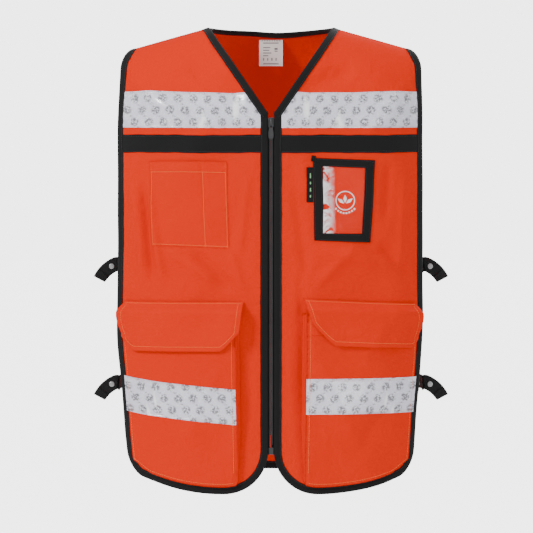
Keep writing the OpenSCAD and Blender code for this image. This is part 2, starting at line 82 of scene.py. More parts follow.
# The body form, in millimetres, as in the design
BODY_W, BODY_D, BODY_N = 226.0, 118.0, 2.3
LEAN_N = {FRONT: 2, BACK: 2.4}
CHEST_Z, FLARE_Z, HEM_TAPER = 520.0, 260.0, 14.0
EDGE_X, NECK_X, NECK_Z, TIP_X, TIP_Z = 212.5, 87.0, 655.0, 202.0, 622.0
VEE_Z, NAPE_Z, BACK_HEM_Z = 535.0, 648.0, 20.0
BINDING_W, ZIP_GAP = 10.5, 4.2
EDGE_ROUND, EDGE_DROP = 15.0, 24.0
HEM_LOW_X, HEM_RISE, HEM_CORNER, HEM_CORNER_H = 75.0, 24.0, 21.0, 28.0
ZIP_CORNER, ZIP_CORNER_H = 66.0, 62.0
BACK_CORNER = 30.0
ZIP_Y = -BODY_D
MOUTH_Z = 252.0
POCKET_X0, POCKET_X1 = 50.0, EDGE_X - 10.4
STRAPS = {"upper": 318.0, "lower": 151.0}
STRAP_X, TAB_X, SNAP_Y = 215.0, 209.0, -22.0
TAIL_X, TAIL_Y, TAIL_L = 218.0, -32.0, 34.0
SIDES = (("left", 1), ("right", -1))

# Lower and upper edges of the tapes and the ribbon, in millimetres
CHEST_TAPE, WAIST_TAPE, CHEST_RIBBON = (514, 564), (133, 183), (479, 504)
TAPE_W = 50
EDGE_GAP = 4.5  # from a panel's side to the end of a band
RIBBON_WAVE = 0.7

# Left and right edges of the touch-fastener patches on a cargo pocket
PATCHES = ((76, 112), (142, 176))

# Stitches on bands, and on the ends of the webbing
BAND_STITCH = {"pitch": 3.0, "length": 2.2, "radius": 0.2}
WEB_STITCH = {"pitch": 2.8, "length": 2.1, "radius": 0.25}

# The camera: sensor width in millimetres, then metres, and its rise in degrees
SENSOR, SEEN_WIDTH, FRONT_PLANE, AIM_X, RISE = 36.0, 0.7462, 0.118, -0.0063, 2.0

# Brightness of the air as a light, and of the air and the floor as the camera sees them
AIR_LIGHT, AIR_SEEN, FLOOR_SEEN = 0.85, 4.0, 3.3


# ---------------------------------------------------------------- numbers
def ease(t):
    t = np.clip(t, 0.0, 1.0)
    return t * t * (3 - 2 * t)


def lerp(a, b, t):
    return a + (b - a) * t


def unit(v):
    v = np.asarray(v, float)
    return v / np.maximum(np.linalg.norm(v, axis=-1, keepdims=True), 1e-12)


def wander(s, seed):
    """A smooth value from -1 to 1 that drifts along s, in millimetres."""
    slow = np.sin(s * 0.113 + seed * 1.7) + 0.7 * np.sin(s * 0.291 + seed * 4.1)
    return (slow + 0.5 * np.sin(s * 0.617 + seed * 2.3)) / 2.2


def grid(cols, rows):
    """Two arrays that run from 0 to 1, one across and one up."""
    u, v = np.linspace(0, 1, cols), np.linspace(0, 1, rows)
    return u[:, None] + np.zeros(rows), v[None] + np.zeros((cols, 1))


# ---------------------------------------------------------------- the body form
def form_w(z):
    return BODY_W - HEM_TAPER * ease((FLARE_Z - z) / FLARE_Z)


def ridge_z(x):
    return TIP_Z + (NECK_Z - TIP_Z) * (TIP_X - np.sqrt(np.square(x) + 900)) / (TIP_X - NECK_X)


def fullness(x, z, half):
    lean = np.clip((z - CHEST_Z) / (ridge_z(x) - CHEST_Z), 0, 1)
    side = np.clip(1 - np.abs(np.asarray(x) / BODY_W) ** BODY_N, 0, 1)
    return side ** (2 / BODY_N) * (1 - lean ** LEAN_N[half])


def surface(x, z, half, off):
    """Points and outward normals of the form at chart positions, in millimetres."""
    x, z, off = np.broadcast_arrays(np.asarray(x, float), np.asarray(z, float), np.asarray(off, float))
    z = np.minimum(z, ridge_z(x) - 0.0005)
    step = 0.4
    y = half * BODY_D * np.sqrt(fullness(x, z, half))
    dx = (fullness(x + step, z, half) - fullness(x - step, z, half)) / (2 * step)
    dz = (fullness(x, z + step, half) - fullness(x, z - step, half)) / (2 * step)
    normal = unit(np.stack([-BODY_D**2 * dx, 2 * y, -BODY_D**2 * dz], -1))
    point = np.stack([x * form_w(z) / BODY_W, y, z], -1) + off[..., None] * normal
    return point, normal


def across(x0, x1, t):
    """From x0 to x1 as t goes from 0 to 1, evenly round the curve of the form."""
    return BODY_W * np.sin(lerp(np.arcsin(x0 / BODY_W), np.arcsin(x1 / BODY_W), t))


def round_in(x, start, reach):
    return 1 - np.sqrt(np.maximum(0, 1 - np.clip((x - start) / reach, 0, 1) ** 2))


def front_hem(x):
    side = HEM_RISE * (np.maximum(0, x - HEM_LOW_X) / (EDGE_X - 15 - HEM_LOW_X)) ** 2
    side = side + HEM_CORNER_H * round_in(x, EDGE_X - HEM_CORNER, HEM_CORNER)
    middle = ZIP_CORNER_H * round_in(-x, -ZIP_GAP - ZIP_CORNER, ZIP_CORNER)
    return np.where(x < ZIP_GAP + ZIP_CORNER, middle, side)


def shoulder(x):
    return ridge_z(x) - 0.02 - EDGE_DROP * round_in(x, EDGE_X - EDGE_ROUND, EDGE_ROUND)


def vee_line(x):
    return VEE_Z + (x - ZIP_GAP) * (NECK_Z - VEE_Z) / (NECK_X - ZIP_GAP)


def front_top(x):
    return np.where(x < NECK_X, np.minimum(vee_line(x), ridge_z(x) - 0.02), shoulder(x))


def back_hem(x):
    return BACK_HEM_Z + HEM_CORNER_H * round_in(np.abs(x), EDGE_X - BACK_CORNER, BACK_CORNER)


def back_top(x):
    x = np.abs(x)
    nape = lerp(NAPE_Z, ridge_z(NECK_X), (x / NECK_X) ** 2)
    return np.where(x < NECK_X, np.minimum(nape, ridge_z(x) - 0.02), shoulder(x))


def vee_inset(z):
    """Where the neck binding's inner edge is at a height."""
    return ZIP_GAP + (z - VEE_Z) * (NECK_X - ZIP_GAP) / (NECK_Z - VEE_Z) + BINDING_W * 1.22


# ---------------------------------------------------------------- the hang of the cloth
def crease(x, z, a, b, width, depth):
    """A soft ridge from chart point a to chart point b that fades out at both ends."""
    dx, dz = b[0] - a[0], b[1] - a[1]
    length = math.hypot(dx, dz)
    along = ((x - a[0]) * dx + (z - a[1]) * dz) / length**2
    aside = ((x - a[0]) * dz - (z - a[1]) * dx) / length
    fade = ease((along + 0.05) * 3.2) * ease((1.05 - along) * 3.2)
    return depth * fade * np.exp(-((aside / width) ** 2))


class Panel:
    """One panel of the garment: where its cloth hangs and which body it belongs to."""

    def __init__(self, name, half, mirror, creases, seed, flare):
        self.name, self.half, self.mirror = name, half, mirror
        self.creases, self.seed, self.flare = creases, seed, flare
        self.body = "back" if half == BACK else f"front_{name}"

    def hang(self, x, z):
        """How far the cloth stands off the form, in millimetres."""
        x, z = np.broadcast_arrays(np.asarray(x, float), np.asarray(z, float))
        s = self.seed
        d = 1.5 * np.sin(x / 23.0 + 0.9 * np.sin(z / 71.0 + s) + s)
        d = d + 1.5 * np.sin(z / 41.0 + 1.1 * np.sin(x / 52.0 + 2 * s)) * np.sin(x / 37.0 + s)
        d = d + 1.4 * np.sin((x * 0.8 + z * 0.6) / 12.0 + s) * np.sin((z - x) / 60.0 + s)
        for c in self.creases:
            d = d + 3.0 * crease(x, z, *c)
        keep = ease((ridge_z(x) - z - 2) / 40)
        if self.half == FRONT:
            keep = keep * ease((x - 15) / 38) * (1 - 0.75 * ease((x - 168) / 30))
        else:
            keep = keep * (1 - 0.75 * ease((np.abs(x) - 165) / 30))
        side = ease((np.abs(x) - 120) / 90) * ease((z - 20) / 70) * ease((600 - z) / 90)
        return d * keep + self.flare * side * (1 + 0.5 * np.exp(-(((z - 215) / 55) ** 2)))

    def at(self, x, z, off=0.0):
        """World points and normals, in metres, at a distance off the hung cloth in millimetres."""
        point, normal = surface(x, z, self.half, off + self.hang(x, z))
        flip = np.array([self.mirror, 1, 1])
        return point * flip * MM, normal * flip


PANELS = {
    "left": Panel("left", FRONT, 1, [
        ((30, 470), (150, 300), 15, 2.2), ((60, 345), (190, 318), 11, 1.8), ((40, 330), (46, 120), 8, -1.6),
        ((150, 352), (205, 300), 9, -2.0), ((205, 575), (120, 500), 15, 1.9), ((36, 560), (120, 600), 15, -1.8),
        ((188, 470), (180, 300), 6, 1.5), ((22, 250), (30, 70), 7, 1.5), ((165, 470), (160, 380), 7, -1.3),
        ((120, 350), (60, 290), 8, 1.3), ((30, 430), (52, 300), 8, -1.3),
    ], 0.4, 1.2),
    "right": Panel("right", FRONT, -1, [
        ((196, 452), (176, 296), 6, 3.0), ((183, 452), (164, 290), 5, -2.2), ((172, 440), (150, 292), 6, 2.2),
        ((204, 430), (197, 300), 4, -1.5), ((150, 345), (70, 296), 9, 2.2), ((112, 345), (52, 285), 8, -1.8),
        ((205, 585), (110, 520), 13, 2.0), ((34, 550), (120, 606), 14, -1.6), ((28, 460), (46, 330), 8, 1.7),
        ((24, 250), (34, 70), 7, -1.4), ((60, 345), (36, 280), 7, 1.2),
    ], 1.9, 4.0),
    "back": Panel("back", BACK, 1, [
        ((-150, 470), (-60, 180), 17, 2.8), ((140, 460), (70, 200), 16, -2.6),
        ((-60, 620), (-170, 560), 16, 2.0),
        ((60, 620), (180, 570), 15, -2.0), ((0, 470), (20, 90), 14, 2.4), ((-110, 300), (-130, 40), 13, -2.2),
        ((120, 260), (150, 40), 12, 2.2), ((-190, 430), (-180, 210), 9, 1.9), ((192, 400), (178, 190), 9, -1.9),
        ((-30, 420), (-52, 160), 10, -1.7), ((48, 400), (60, 120), 10, 1.7),
    ], 3.1, 0.0),
}


# ---------------------------------------------------------------- mesh building
def resample(points, step):
    gaps = np.linalg.norm(np.diff(points, axis=0), axis=1)
    run = np.concatenate([[0], np.cumsum(gaps)])
    count = max(2, int(round(run[-1] / step)) + 1)
    want = np.linspace(0, run[-1], count)
    return np.stack([np.interp(want, run, points[:, k]) for k in range(points.shape[1])], -1)


def run_length(points):
    return np.concatenate([[0], np.cumsum(np.linalg.norm(np.diff(points, axis=0), axis=-1))])


class Shape:
    """Gathers closed solids, then turns them into one object."""

    def __init__(self):
        self.verts, self.uvs, self.faces, self.total = [], [], [], 0

    def add(self, verts, faces, uv=None, mat=0):
        """faces is a list of (index array, smooth) pairs that together close the solid."""
        verts = np.asarray(verts, float).reshape(-1, 3)
        uv = verts[:, :2] if uv is None else np.asarray(uv, float).reshape(-1, 2)
        volume = 0.0
        for index, _ in faces:
            for k in range(1, index.shape[1] - 1):
                a, b, c = verts[index[:, 0]], verts[index[:, k]], verts[index[:, k + 1]]
                volume += np.einsum("ij,ij->i", a, np.cross(b, c)).sum()
        for index, smooth in faces:
            index = index if volume >= 0 else index[:, ::-1]
            self.faces.append((index + self.total, smooth, mat))
        self.verts.append(verts)
        self.uvs.append(uv)
        self.total += len(verts)

    def slab(self, inner, outer, uv, mat=0):
        """A sheet between two grids of points."""
        rows, cols = inner.shape[:2]
        near = np.arange(rows * cols).reshape(rows, cols)
        far = near + rows * cols

        def quads(g, turn):
            q = np.stack([g[:-1, :-1], g[1:, :-1], g[1:, 1:], g[:-1, 1:]], -1).reshape(-1, 4)
            return q[:, ::-1] if turn else q

        rim = np.concatenate([near[0, :], near[1:, -1], near[-1, -2::-1], near[-2:0:-1, 0]])
        nxt = np.roll(rim, -1)
        sides = np.stack([rim, nxt, nxt + rows * cols, rim + rows * cols], -1)
        faces = [(quads(far, True), True), (quads(near, False), True), (sides[:, ::-1], False)]
        both = np.concatenate([np.asarray(uv).reshape(-1, 2)] * 2)
        self.add(np.concatenate([inner.reshape(-1, 3), outer.reshape(-1, 3)]), faces, both, mat)

    def lay(self, place, x, z, low, high, mat=0, uv=None):
        """A sheet from low to high off the cloth; place turns chart points into world points."""
        uv = np.stack([x, z], -1) if uv is None else uv
        self.slab(place(x, z, low)[0], place(x, z, high)[0], uv * MM, mat)

    def loft(self, rings, uv=None, mat=0):
        """A solid through rings of points, capped at both ends."""
        n, m = rings.shape[:2]
        g = np.arange(n * m).reshape(n, m)
        nxt = np.roll(g, -1, axis=1)
        walls = np.stack([g[:-1], nxt[:-1], nxt[1:], g[1:]], -1).reshape(-1, 4)
        faces = [(walls, True), (g[:1, ::-1], False), (g[-1:], False)]
        self.add(rings, faces, uv, mat)

    def stitches(self, points, normals, pitch=3.4, length=2.6, radius=0.4, mat=1):
        """A row of separate raised stitches along a line."""
        run = run_length(points)
        count = int(run[-1] / (pitch * MM))
        if count < 1:
            return
        centre = (np.arange(count) + 0.5) * run[-1] / count
        tangent = unit(np.gradient(points, axis=0))

        def pick(values, where):
            return np.stack([np.interp(where, run, values[:, k]) for k in range(3)], -1)

        middle = pick(points, centre)
        t, n = unit(pick(tangent, centre)), unit(pick(normals, centre))
        b = unit(np.cross(t, n))
        n = np.cross(b, t)
        along = np.array([-0.5, -0.4, -0.16, 0.16, 0.4, 0.5]) * length * MM
        radii = np.array([0.3, 0.8, 1, 1, 0.8, 0.3]) * radius * MM
        rise = np.array([-0.5, 0.1, 0.4, 0.4, 0.1, -0.5]) * radius * MM
        angle = np.arange(6) * math.pi / 3
        tilt = 0.12 * wander(np.arange(count) * 7.0, 1.3)[:, None]
        t = unit(t + tilt * b)
        rings = (
            middle[:, None, None]
            + along[None, :, None, None] * t[:, None, None]
            + (rise[:, None] + radii[:, None] * np.sin(angle))[None, ..., None] * n[:, None, None]
            + (radii[:, None] * np.cos(angle))[None, ..., None] * b[:, None, None]
        )
        g = np.arange(36).reshape(6, 6)
        nxt = np.roll(g, -1, axis=1)
        walls = np.stack([g[:-1], nxt[:-1], nxt[1:], g[1:]], -1).reshape(-1, 4)
        shift = (np.arange(count) * 36)[:, None, None]
        quads = (walls[None] + shift).reshape(-1, 4)
        caps = np.concatenate([(end[None] + shift).reshape(-1, 6) for end in (g[:1, ::-1], g[-1:])])
        along_uv = (along[None, :] / MM * 0.4 + np.zeros((count, 1)))[..., None] + np.zeros(6)
        uv = np.stack([along_uv, np.broadcast_to(angle, along_uv.shape)], -1)
        self.add(rings, [(quads, True), (caps, True)], uv, mat)

    def block(self, low, high, bevel, frame=None, mat=0, segments=2):
        """A box with rounded edges, in millimetres, placed by a frame matrix in metres."""
        bm = bmesh.new()
        bmesh.ops.create_cube(bm, size=1.0)
        low, high = Vector(low), Vector(high)
        for v in bm.verts:
            v.co = Vector([lerp(low[k], high[k], v.co[k] + 0.5) for k in range(3)])
        self._take(bm, bm.edges[:], bevel, segments, frame, mat)

    def prism(self, outline, y0, y1, bevel, frame=None, mat=0):
        """An outline in X and Z, in millimetres, made solid from y0 to y1, with rounded edges."""
        bm = bmesh.new()
        face = bm.faces.new([bm.verts.new((p[0], y0, p[1])) for p in outline])
        out = bmesh.ops.extrude_face_region(bm, geom=[face])
        for v in [g for g in out["geom"] if isinstance(g, bmesh.types.BMVert)]:
            v.co.y = y1
        bmesh.ops.recalc_face_normals(bm, faces=bm.faces[:])
        ends = [e for e in bm.edges if abs(e.verts[0].co.y - e.verts[1].co.y) < 1e-6]
        self._take(bm, ends, bevel, 2, frame, mat)

    def _take(self, bm, edges, bevel, segments, frame, mat):
        """Rounds the given edges and adds the result."""
        bmesh.ops.bevel(
            bm, geom=edges, offset=bevel, segments=segments, profile=0.5, affect="EDGES", clamp_overlap=True
        )
        bm.verts.index_update()
        matrix = Matrix.Identity(4) if frame is None else frame
        verts = np.array([matrix @ (v.co * MM) for v in bm.verts])
        sizes = {}
        for f in bm.faces:
            sizes.setdefault(len(f.verts), []).append([v.index for v in f.verts])
        faces = [(np.array(rows), False) for rows in sizes.values()]
        bm.free()
        self.add(verts, faces, verts[:, [0, 2]], mat)

    def lathe(self, profile, frame, mat=0, sides=40):
        """A turned solid: profile is (radius, height) in millimetres, about the frame's Z."""
        angle = np.arange(sides) * 2 * math.pi / sides
        rings = np.array([
            [(r * math.cos(a), r * math.sin(a), h) for a in angle] for r, h in profile
        ]) * MM
        turn = np.array(frame.to_3x3())
        rings = rings @ turn.T + np.array(frame.translation)
        uv = np.array([[(a * 0.004, (r + h) * MM) for a in angle] for r, h in profile])
        self.loft(rings, uv, mat)

    def build(self, name, materials):
        verts, uvs = np.concatenate(self.verts), np.concatenate(self.uvs)
        loops, starts, smooth, mats, at = [], [], [], [], 0
        for index, is_smooth, mat in self.faces:
            k, size = index.shape
            loops.append(index.ravel())
            starts.append(at + np.arange(k) * size)
            smooth.append(np.full(k, is_smooth))
            mats.append(np.full(k, mat))
            at += k * size
        loops, starts = np.concatenate(loops), np.concatenate(starts)
        mesh = bpy.data.meshes.new(name)
        mesh.vertices.add(len(verts))
        mesh.vertices.foreach_set("co", verts.ravel())
        mesh.loops.add(len(loops))
        mesh.loops.foreach_set("vertex_index", loops.astype(np.int32))
        mesh.polygons.add(len(starts))
        mesh.polygons.foreach_set("loop_start", starts.astype(np.int32))
        layer = mesh.uv_layers.new(name="UVMap")
        mesh.update(calc_edges=True)
        mesh.polygons.foreach_set("use_smooth", np.concatenate(smooth))
        mesh.polygons.foreach_set("material_index", np.concatenate(mats).astype(np.int32))
        layer.data.foreach_set("uv", uvs[loops].astype(np.float32).ravel())
        mesh.validate()
        mesh.update()
        for material in materials:
            mesh.materials.append(material)
        obj = bpy.data.objects.new(name, mesh)
        bpy.context.scene.collection.objects.link(obj)
        return obj


def settle(obj, body, nodes=()):
    """Puts a finished piece on its body and in place of its solids."""
    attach(obj, body)
    if nodes:
        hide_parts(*nodes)
    return obj


def settle_over_shoulder(obj, nodes=()):
    """Puts a finished piece in place of its solids, fixed in the world on no body; used for pieces that run
    over the shoulder from front to back.
    """
    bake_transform(obj)
    if nodes:
        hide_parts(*nodes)
    return obj


# ---------------------------------------------------------------- materials
def node(tree, kind, links=None, **values):
    """Adds a node; links names an input and what feeds it, values are its settings."""
    n = tree.nodes.new(kind)
    for key, value in values.items():
        if hasattr(n, key) and key not in n.inputs:
            setattr(n, key, value)
        else:
            n.inputs[key.replace("_", " ")].default_value = value
    for key, source in (links or {}).items():
        tree.links.new(source, n.inputs[key])
    return n


def maths(tree, operation, a, b=None, c=None):
    n = tree.nodes.new("ShaderNodeMath")
    n.operation = operation
    for k, value in enumerate((a, b, c)):
        if value is None:
            continue
        if isinstance(value, (int, float)):
            n.inputs[k].default_value = value
        else:
            tree.links.new(value, n.inputs[k])
    return n.outputs[0]


def clamp(tree, value):
    return maths(tree, "MINIMUM", maths(tree, "MAXIMUM", value, 0.0), 1.0)


def open_group(name, inputs, outputs):
    """An empty node group with named sockets, and its two end nodes."""
    tree = bpy.data.node_groups.new(name, "ShaderNodeTree")
    for label, kind, default in inputs:
        socket = tree.interface.new_socket(name=label, in_out="INPUT", socket_type=kind)
        if default is not None:
            socket.default_value = default
    for label in outputs:
        tree.interface.new_socket(name=label, in_out="OUTPUT", socket_type="NodeSocketFloat")
    start, end = tree.nodes.new("NodeGroupInput"), tree.nodes.new("NodeGroupOutput")
    return tree, start, end


VECTOR, FLOAT = "NodeSocketVector", "NodeSocketFloat"


def weave_group():
    """Plain weave: over and under threads at a stated count."""
    if "plain_weave" in bpy.data.node_groups:
        return bpy.data.node_groups["plain_weave"]
    tree, start, end = open_group(
        "plain_weave", [("Vector", VECTOR, None), ("Threads per metre", FLOAT, 1600.0)], ["Height", "Mask"]
    )
    split = node(tree, "ShaderNodeSeparateXYZ", {"Vector": start.outputs["Vector"]})
    count = start.outputs["Threads per metre"]
    u = maths(tree, "MULTIPLY", maths(tree, "MULTIPLY", split.outputs["X"], count), math.pi)
    v = maths(tree, "MULTIPLY", maths(tree, "MULTIPLY", split.outputs["Y"], count), math.pi)
    cross = maths(tree, "MULTIPLY", maths(tree, "SINE", u), maths(tree, "SINE", v))
    mask = maths(tree, "MULTIPLY_ADD", cross, 0.5, 0.5)
    warp = maths(tree, "ABSOLUTE", maths(tree, "COSINE", u))
    weft = maths(tree, "ABSOLUTE", maths(tree, "COSINE", v))
    over = maths(tree, "MULTIPLY", warp, mask)
    under = maths(tree, "MULTIPLY", weft, maths(tree, "SUBTRACT", 1.0, mask))
    tree.links.new(maths(tree, "ADD", over, under), end.inputs["Height"])
    tree.links.new(mask, end.inputs["Mask"])
    return tree


def rib_group():
    """Ribbed ribbon: cords across the width with fine threads over them."""
    if "ribbed_ribbon" in bpy.data.node_groups:
        return bpy.data.node_groups["ribbed_ribbon"]
    tree, start, end = open_group(
        "ribbed_ribbon", [("Vector", VECTOR, None), ("Ribs per metre", FLOAT, 900.0)], ["Height", "Mask"]
    )
    split = node(tree, "ShaderNodeSeparateXYZ", {"Vector": start.outputs["Vector"]})
    count = start.outputs["Ribs per metre"]
    along = maths(tree, "MULTIPLY", maths(tree, "MULTIPLY", split.outputs["Y"], count), math.pi)
    cords = maths(tree, "ABSOLUTE", maths(tree, "SINE", along))
    over = maths(tree, "MULTIPLY", maths(tree, "MULTIPLY", split.outputs["X"], count), math.pi * 1.6)
    slant = maths(tree, "ADD", over, maths(tree, "MULTIPLY", along, 0.5))
    fine = maths(tree, "ABSOLUTE", maths(tree, "SINE", slant))
    tree.links.new(maths(tree, "MULTIPLY_ADD", fine, 0.35, cords), end.inputs["Height"])
    mask = maths(tree, "MULTIPLY", cords, maths(tree, "MULTIPLY_ADD", fine, 0.5, 0.5))
    tree.links.new(mask, end.inputs["Mask"])
    return tree


def ring_group():
    """Embossed retroreflective film: staggered broken rings, small lozenges between them, a grain with painted
    sparkle, and painted highlight streaks.
    """
    if "ring_emboss" in bpy.data.node_groups:
        return bpy.data.node_groups["ring_emboss"]
    tree, start, end = open_group(
        "ring_emboss", [("Vector", VECTOR, None), ("Rings per metre", FLOAT, 62.0)],
        ["Height", "Mask", "Grain", "Streak"],
    )
    flaw = node(tree, "ShaderNodeTexNoise", {"Vector": start.outputs["Vector"]}, Scale=330.0, Detail=3.0)
    broken = clamp(tree, maths(tree, "MULTIPLY_ADD", flaw.outputs["Fac"], 7.0, -2.7))
    wobble = node(tree, "ShaderNodeTexNoise", {"Vector": start.outputs["Vector"]}, Scale=75.0, Detail=1.0)
    moved = node(tree, "ShaderNodeVectorMath", {0: wobble.outputs["Color"]}, operation="SCALE", Scale=0.004)
    moved = node(tree, "ShaderNodeVectorMath", {0: start.outputs["Vector"], 1: moved.outputs[0]},
                 operation="ADD")
    split = node(tree, "ShaderNodeSeparateXYZ", {"Vector": moved.outputs[0]})
    count = start.outputs["Rings per metre"]
    v = maths(tree, "MULTIPLY", split.outputs["Y"], count)
    u = maths(tree, "MULTIPLY", split.outputs["X"], maths(tree, "MULTIPLY", count, 0.8))

    def lattice(shift):
        """Distances from the nearest lattice point, along and across."""
        row = maths(tree, "ADD", v, shift)
        stagger = maths(tree, "ADD", u, shift * 0.5)
        along = maths(tree, "MULTIPLY_ADD", maths(tree, "FLOOR", row), 0.5, stagger)
        return [maths(tree, "SUBTRACT", maths(tree, "FRACT", k), 0.5) for k in (along, row)]

    cu, cv = lattice(0.0)
    cu = maths(tree, "MULTIPLY", cu, 1.25)
    square = maths(tree, "ADD", maths(tree, "POWER", cu, 2.0), maths(tree, "POWER", cv, 2.0))
    away = maths(tree, "SQRT", square)

    def ring(radius, sharp):
        gap = maths(tree, "ABSOLUTE", maths(tree, "SUBTRACT", away, radius))
        line = clamp(tree, maths(tree, "SUBTRACT", 1.0, maths(tree, "MULTIPLY", gap, sharp)))
        return maths(tree, "MULTIPLY", line, broken)

    du, dv = lattice(0.5)
    tall = maths(tree, "MULTIPLY", maths(tree, "ABSOLUTE", dv), 1.6)
    slant = maths(tree, "ADD", maths(tree, "ABSOLUTE", du), tall)
    lozenge = maths(tree, "MULTIPLY", clamp(tree, maths(tree, "MULTIPLY_ADD", slant, -4.2, 1.0)), broken)
    marks = clamp(tree, maths(tree, "ADD", maths(tree, "ADD", ring(0.28, 6.0), ring(0.11, 6.0)), lozenge))
    # the grain is real in the bump and the roughness; its pale colour is a painted sparkle
    grain = node(tree, "ShaderNodeTexVoronoi", {"Vector": start.outputs["Vector"]}, Scale=430.0)
    grain_and_painted_sparkle = maths(tree, "GREATER_THAN", 0.27, grain.outputs["Distance"])
    # painted highlight: stretched noise gives pale streaks where light would catch creased film
    lift = node(tree, "ShaderNodeMapping", {"Vector": start.outputs["Vector"]}, Scale=(34.0, 9.0, 9.0))
    highlight_noise = node(tree, "ShaderNodeTexNoise", {"Vector": lift.outputs[0]}, Scale=1.0, Detail=2.0,
                  Distortion=1.2)
    painted_streak = clamp(tree, maths(tree, "MULTIPLY_ADD", highlight_noise.outputs["Fac"], 16.0, -9.9))
    tree.links.new(maths(tree, "MULTIPLY_ADD", grain_and_painted_sparkle, 0.3, marks), end.inputs["Height"])
    tree.links.new(marks, end.inputs["Mask"])
    tree.links.new(grain_and_painted_sparkle, end.inputs["Grain"])
    tree.links.new(painted_streak, end.inputs["Streak"])
    return tree


def glare_group():
    """A painted highlight: a ragged pale stripe down one edge, where soft plastic sheet would lift and catch
    the light.
    """
    if "sheet_glare" in bpy.data.node_groups:
        return bpy.data.node_groups["sheet_glare"]
    tree, start, end = open_group(
        "sheet_glare", [("Vector", VECTOR, None), ("Edge", FLOAT, 0.0725), ("Reach", FLOAT, 0.015)], ["Mask"]
    )
    ragged = node(tree, "ShaderNodeTexNoise", {"Vector": start.outputs["Vector"]}, Scale=55.0, Detail=3.0,
                  Distortion=1.4)
    split = node(tree, "ShaderNodeSeparateXYZ", {"Vector": start.outputs["Vector"]})
    into = maths(tree, "DIVIDE", maths(tree, "SUBTRACT", split.outputs["X"], start.outputs["Edge"]),
                 start.outputs["Reach"])
    near = maths(tree, "MAXIMUM", maths(tree, "SUBTRACT", 1.15, into), 0.0)
    sharp = maths(tree, "MULTIPLY", maths(tree, "SUBTRACT", ragged.outputs["Fac"], 0.42), 7.0)
    stripe = maths(tree, "MULTIPLY", near, clamp(tree, sharp))
    tree.links.new(maths(tree, "MINIMUM", stripe, 1.0), end.inputs["Mask"])
    return tree


def wear_group():
    """Slow tone changes and fine fibre noise, for handled cloth and moulded plastic."""
    if "handled_wear" in bpy.data.node_groups:
        return bpy.data.node_groups["handled_wear"]
    tree, start, end = open_group(
        "handled_wear", [("Vector", VECTOR, None), ("Patch size", FLOAT, 14.0)], ["Tone", "Fibre", "Crumple"]
    )
    tone = node(
        tree, "ShaderNodeTexNoise", {"Vector": start.outputs["Vector"], "Scale": start.outputs["Patch size"]},
        Detail=4.0, Roughness=0.55,
    )
    fibre = node(tree, "ShaderNodeTexNoise", {"Vector": start.outputs["Vector"]}, Scale=1400.0, Detail=3.0)
    crumple = node(
        tree, "ShaderNodeTexNoise", {"Vector": start.outputs["Vector"]}, Scale=46.0, Detail=5.0, Roughness=0.5,
        Distortion=0.6,
    )
    tree.links.new(tone.outputs["Fac"], end.inputs["Tone"])
    tree.links.new(fibre.outputs["Fac"], end.inputs["Fibre"])
    tree.links.new(crumple.outputs["Fac"], end.inputs["Crumple"])
    return tree


def new_material(name):
    material = bpy.data.materials.new(name)
    material.use_nodes = True
    tree = material.node_tree
    tree.nodes.clear()
    out = tree.nodes.new("ShaderNodeOutputMaterial")
    shader = tree.nodes.new("ShaderNodeBsdfPrincipled")
    tree.links.new(shader.outputs[0], out.inputs["Surface"])
    uv = tree.nodes.new("ShaderNodeUVMap")
    uv.uv_map = "UVMap"
    return material, tree, shader, uv.outputs[0]


def use(tree, group, vector, **values):
    n = tree.nodes.new("ShaderNodeGroup")
    n.node_tree = group
    tree.links.new(vector, n.inputs["Vector"])
    for key, value in values.items():
        n.inputs[key.replace("_", " ")].default_value = value
    return n.outputs


def mix(tree, factor, a, b):
    """Mixes two colours, each a tuple or a socket, by a varying factor."""
    n = tree.nodes.new("ShaderNodeMix")
    n.data_type = "RGBA"
    tree.links.new(factor, n.inputs["Factor"])
    for socket, value in ((n.inputs[6], a), (n.inputs[7], b)):
        if isinstance(value, tuple):
            socket.default_value = (*value, 1.0)
        else:
            tree.links.new(value, socket)
    return n.outputs[2]


def fabric(name, dark, light, worn, structure, bump, roughness=0.85, sheen=0.3, crumple=0.0, painted_glow=0.0,
           specular=0.25, **counts):
    """Woven cloth or ribbon: structure is the node group that lays its threads."""
    if name in bpy.data.materials:
        return bpy.data.materials[name]
    material, tree, shader, uv = new_material(name)
    threads = use(tree, structure, uv, **counts)
    wear = use(tree, wear_group(), uv)
    colour = mix(tree, threads["Mask"], dark, light)
    colour = mix(tree, maths(tree, "MULTIPLY", wear["Tone"], 0.55), colour, worn)
    tree.links.new(colour, shader.inputs["Base Color"])
    rough = maths(tree, "MULTIPLY_ADD", wear["Fibre"], 0.2, roughness - 0.1)
    tree.links.new(rough, shader.inputs["Roughness"])
    height = maths(tree, "MULTIPLY_ADD", wear["Fibre"], 0.35, threads["Height"])
    near = node(tree, "ShaderNodeBump", {"Height": height}, Strength=0.55, Distance=bump * MM)
    if crumple:
        far = node(tree, "ShaderNodeBump", {"Height": wear["Crumple"], "Normal": near.outputs[0]},
                   Strength=0.5, Distance=crumple * MM)
        tree.links.new(far.outputs[0], shader.inputs["Normal"])
    else:
        tree.links.new(near.outputs[0], shader.inputs["Normal"])
    shader.inputs["Sheen Weight"].default_value = sheen
    shader.inputs["Sheen Roughness"].default_value = 0.5
    shader.inputs["Specular IOR Level"].default_value = specular
    # painted light: the cloth gives off its own colour as a glow, which lifts its shaded parts
    if painted_glow:
        tree.links.new(colour, shader.inputs["Emission Color"])
        shader.inputs["Emission Strength"].default_value = painted_glow
    return material


def shades(key, *factors):
    """A user's colour made darker or lighter by each factor."""
    base = tuple(getattr(bpy.context.scene.vest_colours, key))
    return [tuple(k * factor for k in base) for factor in factors]


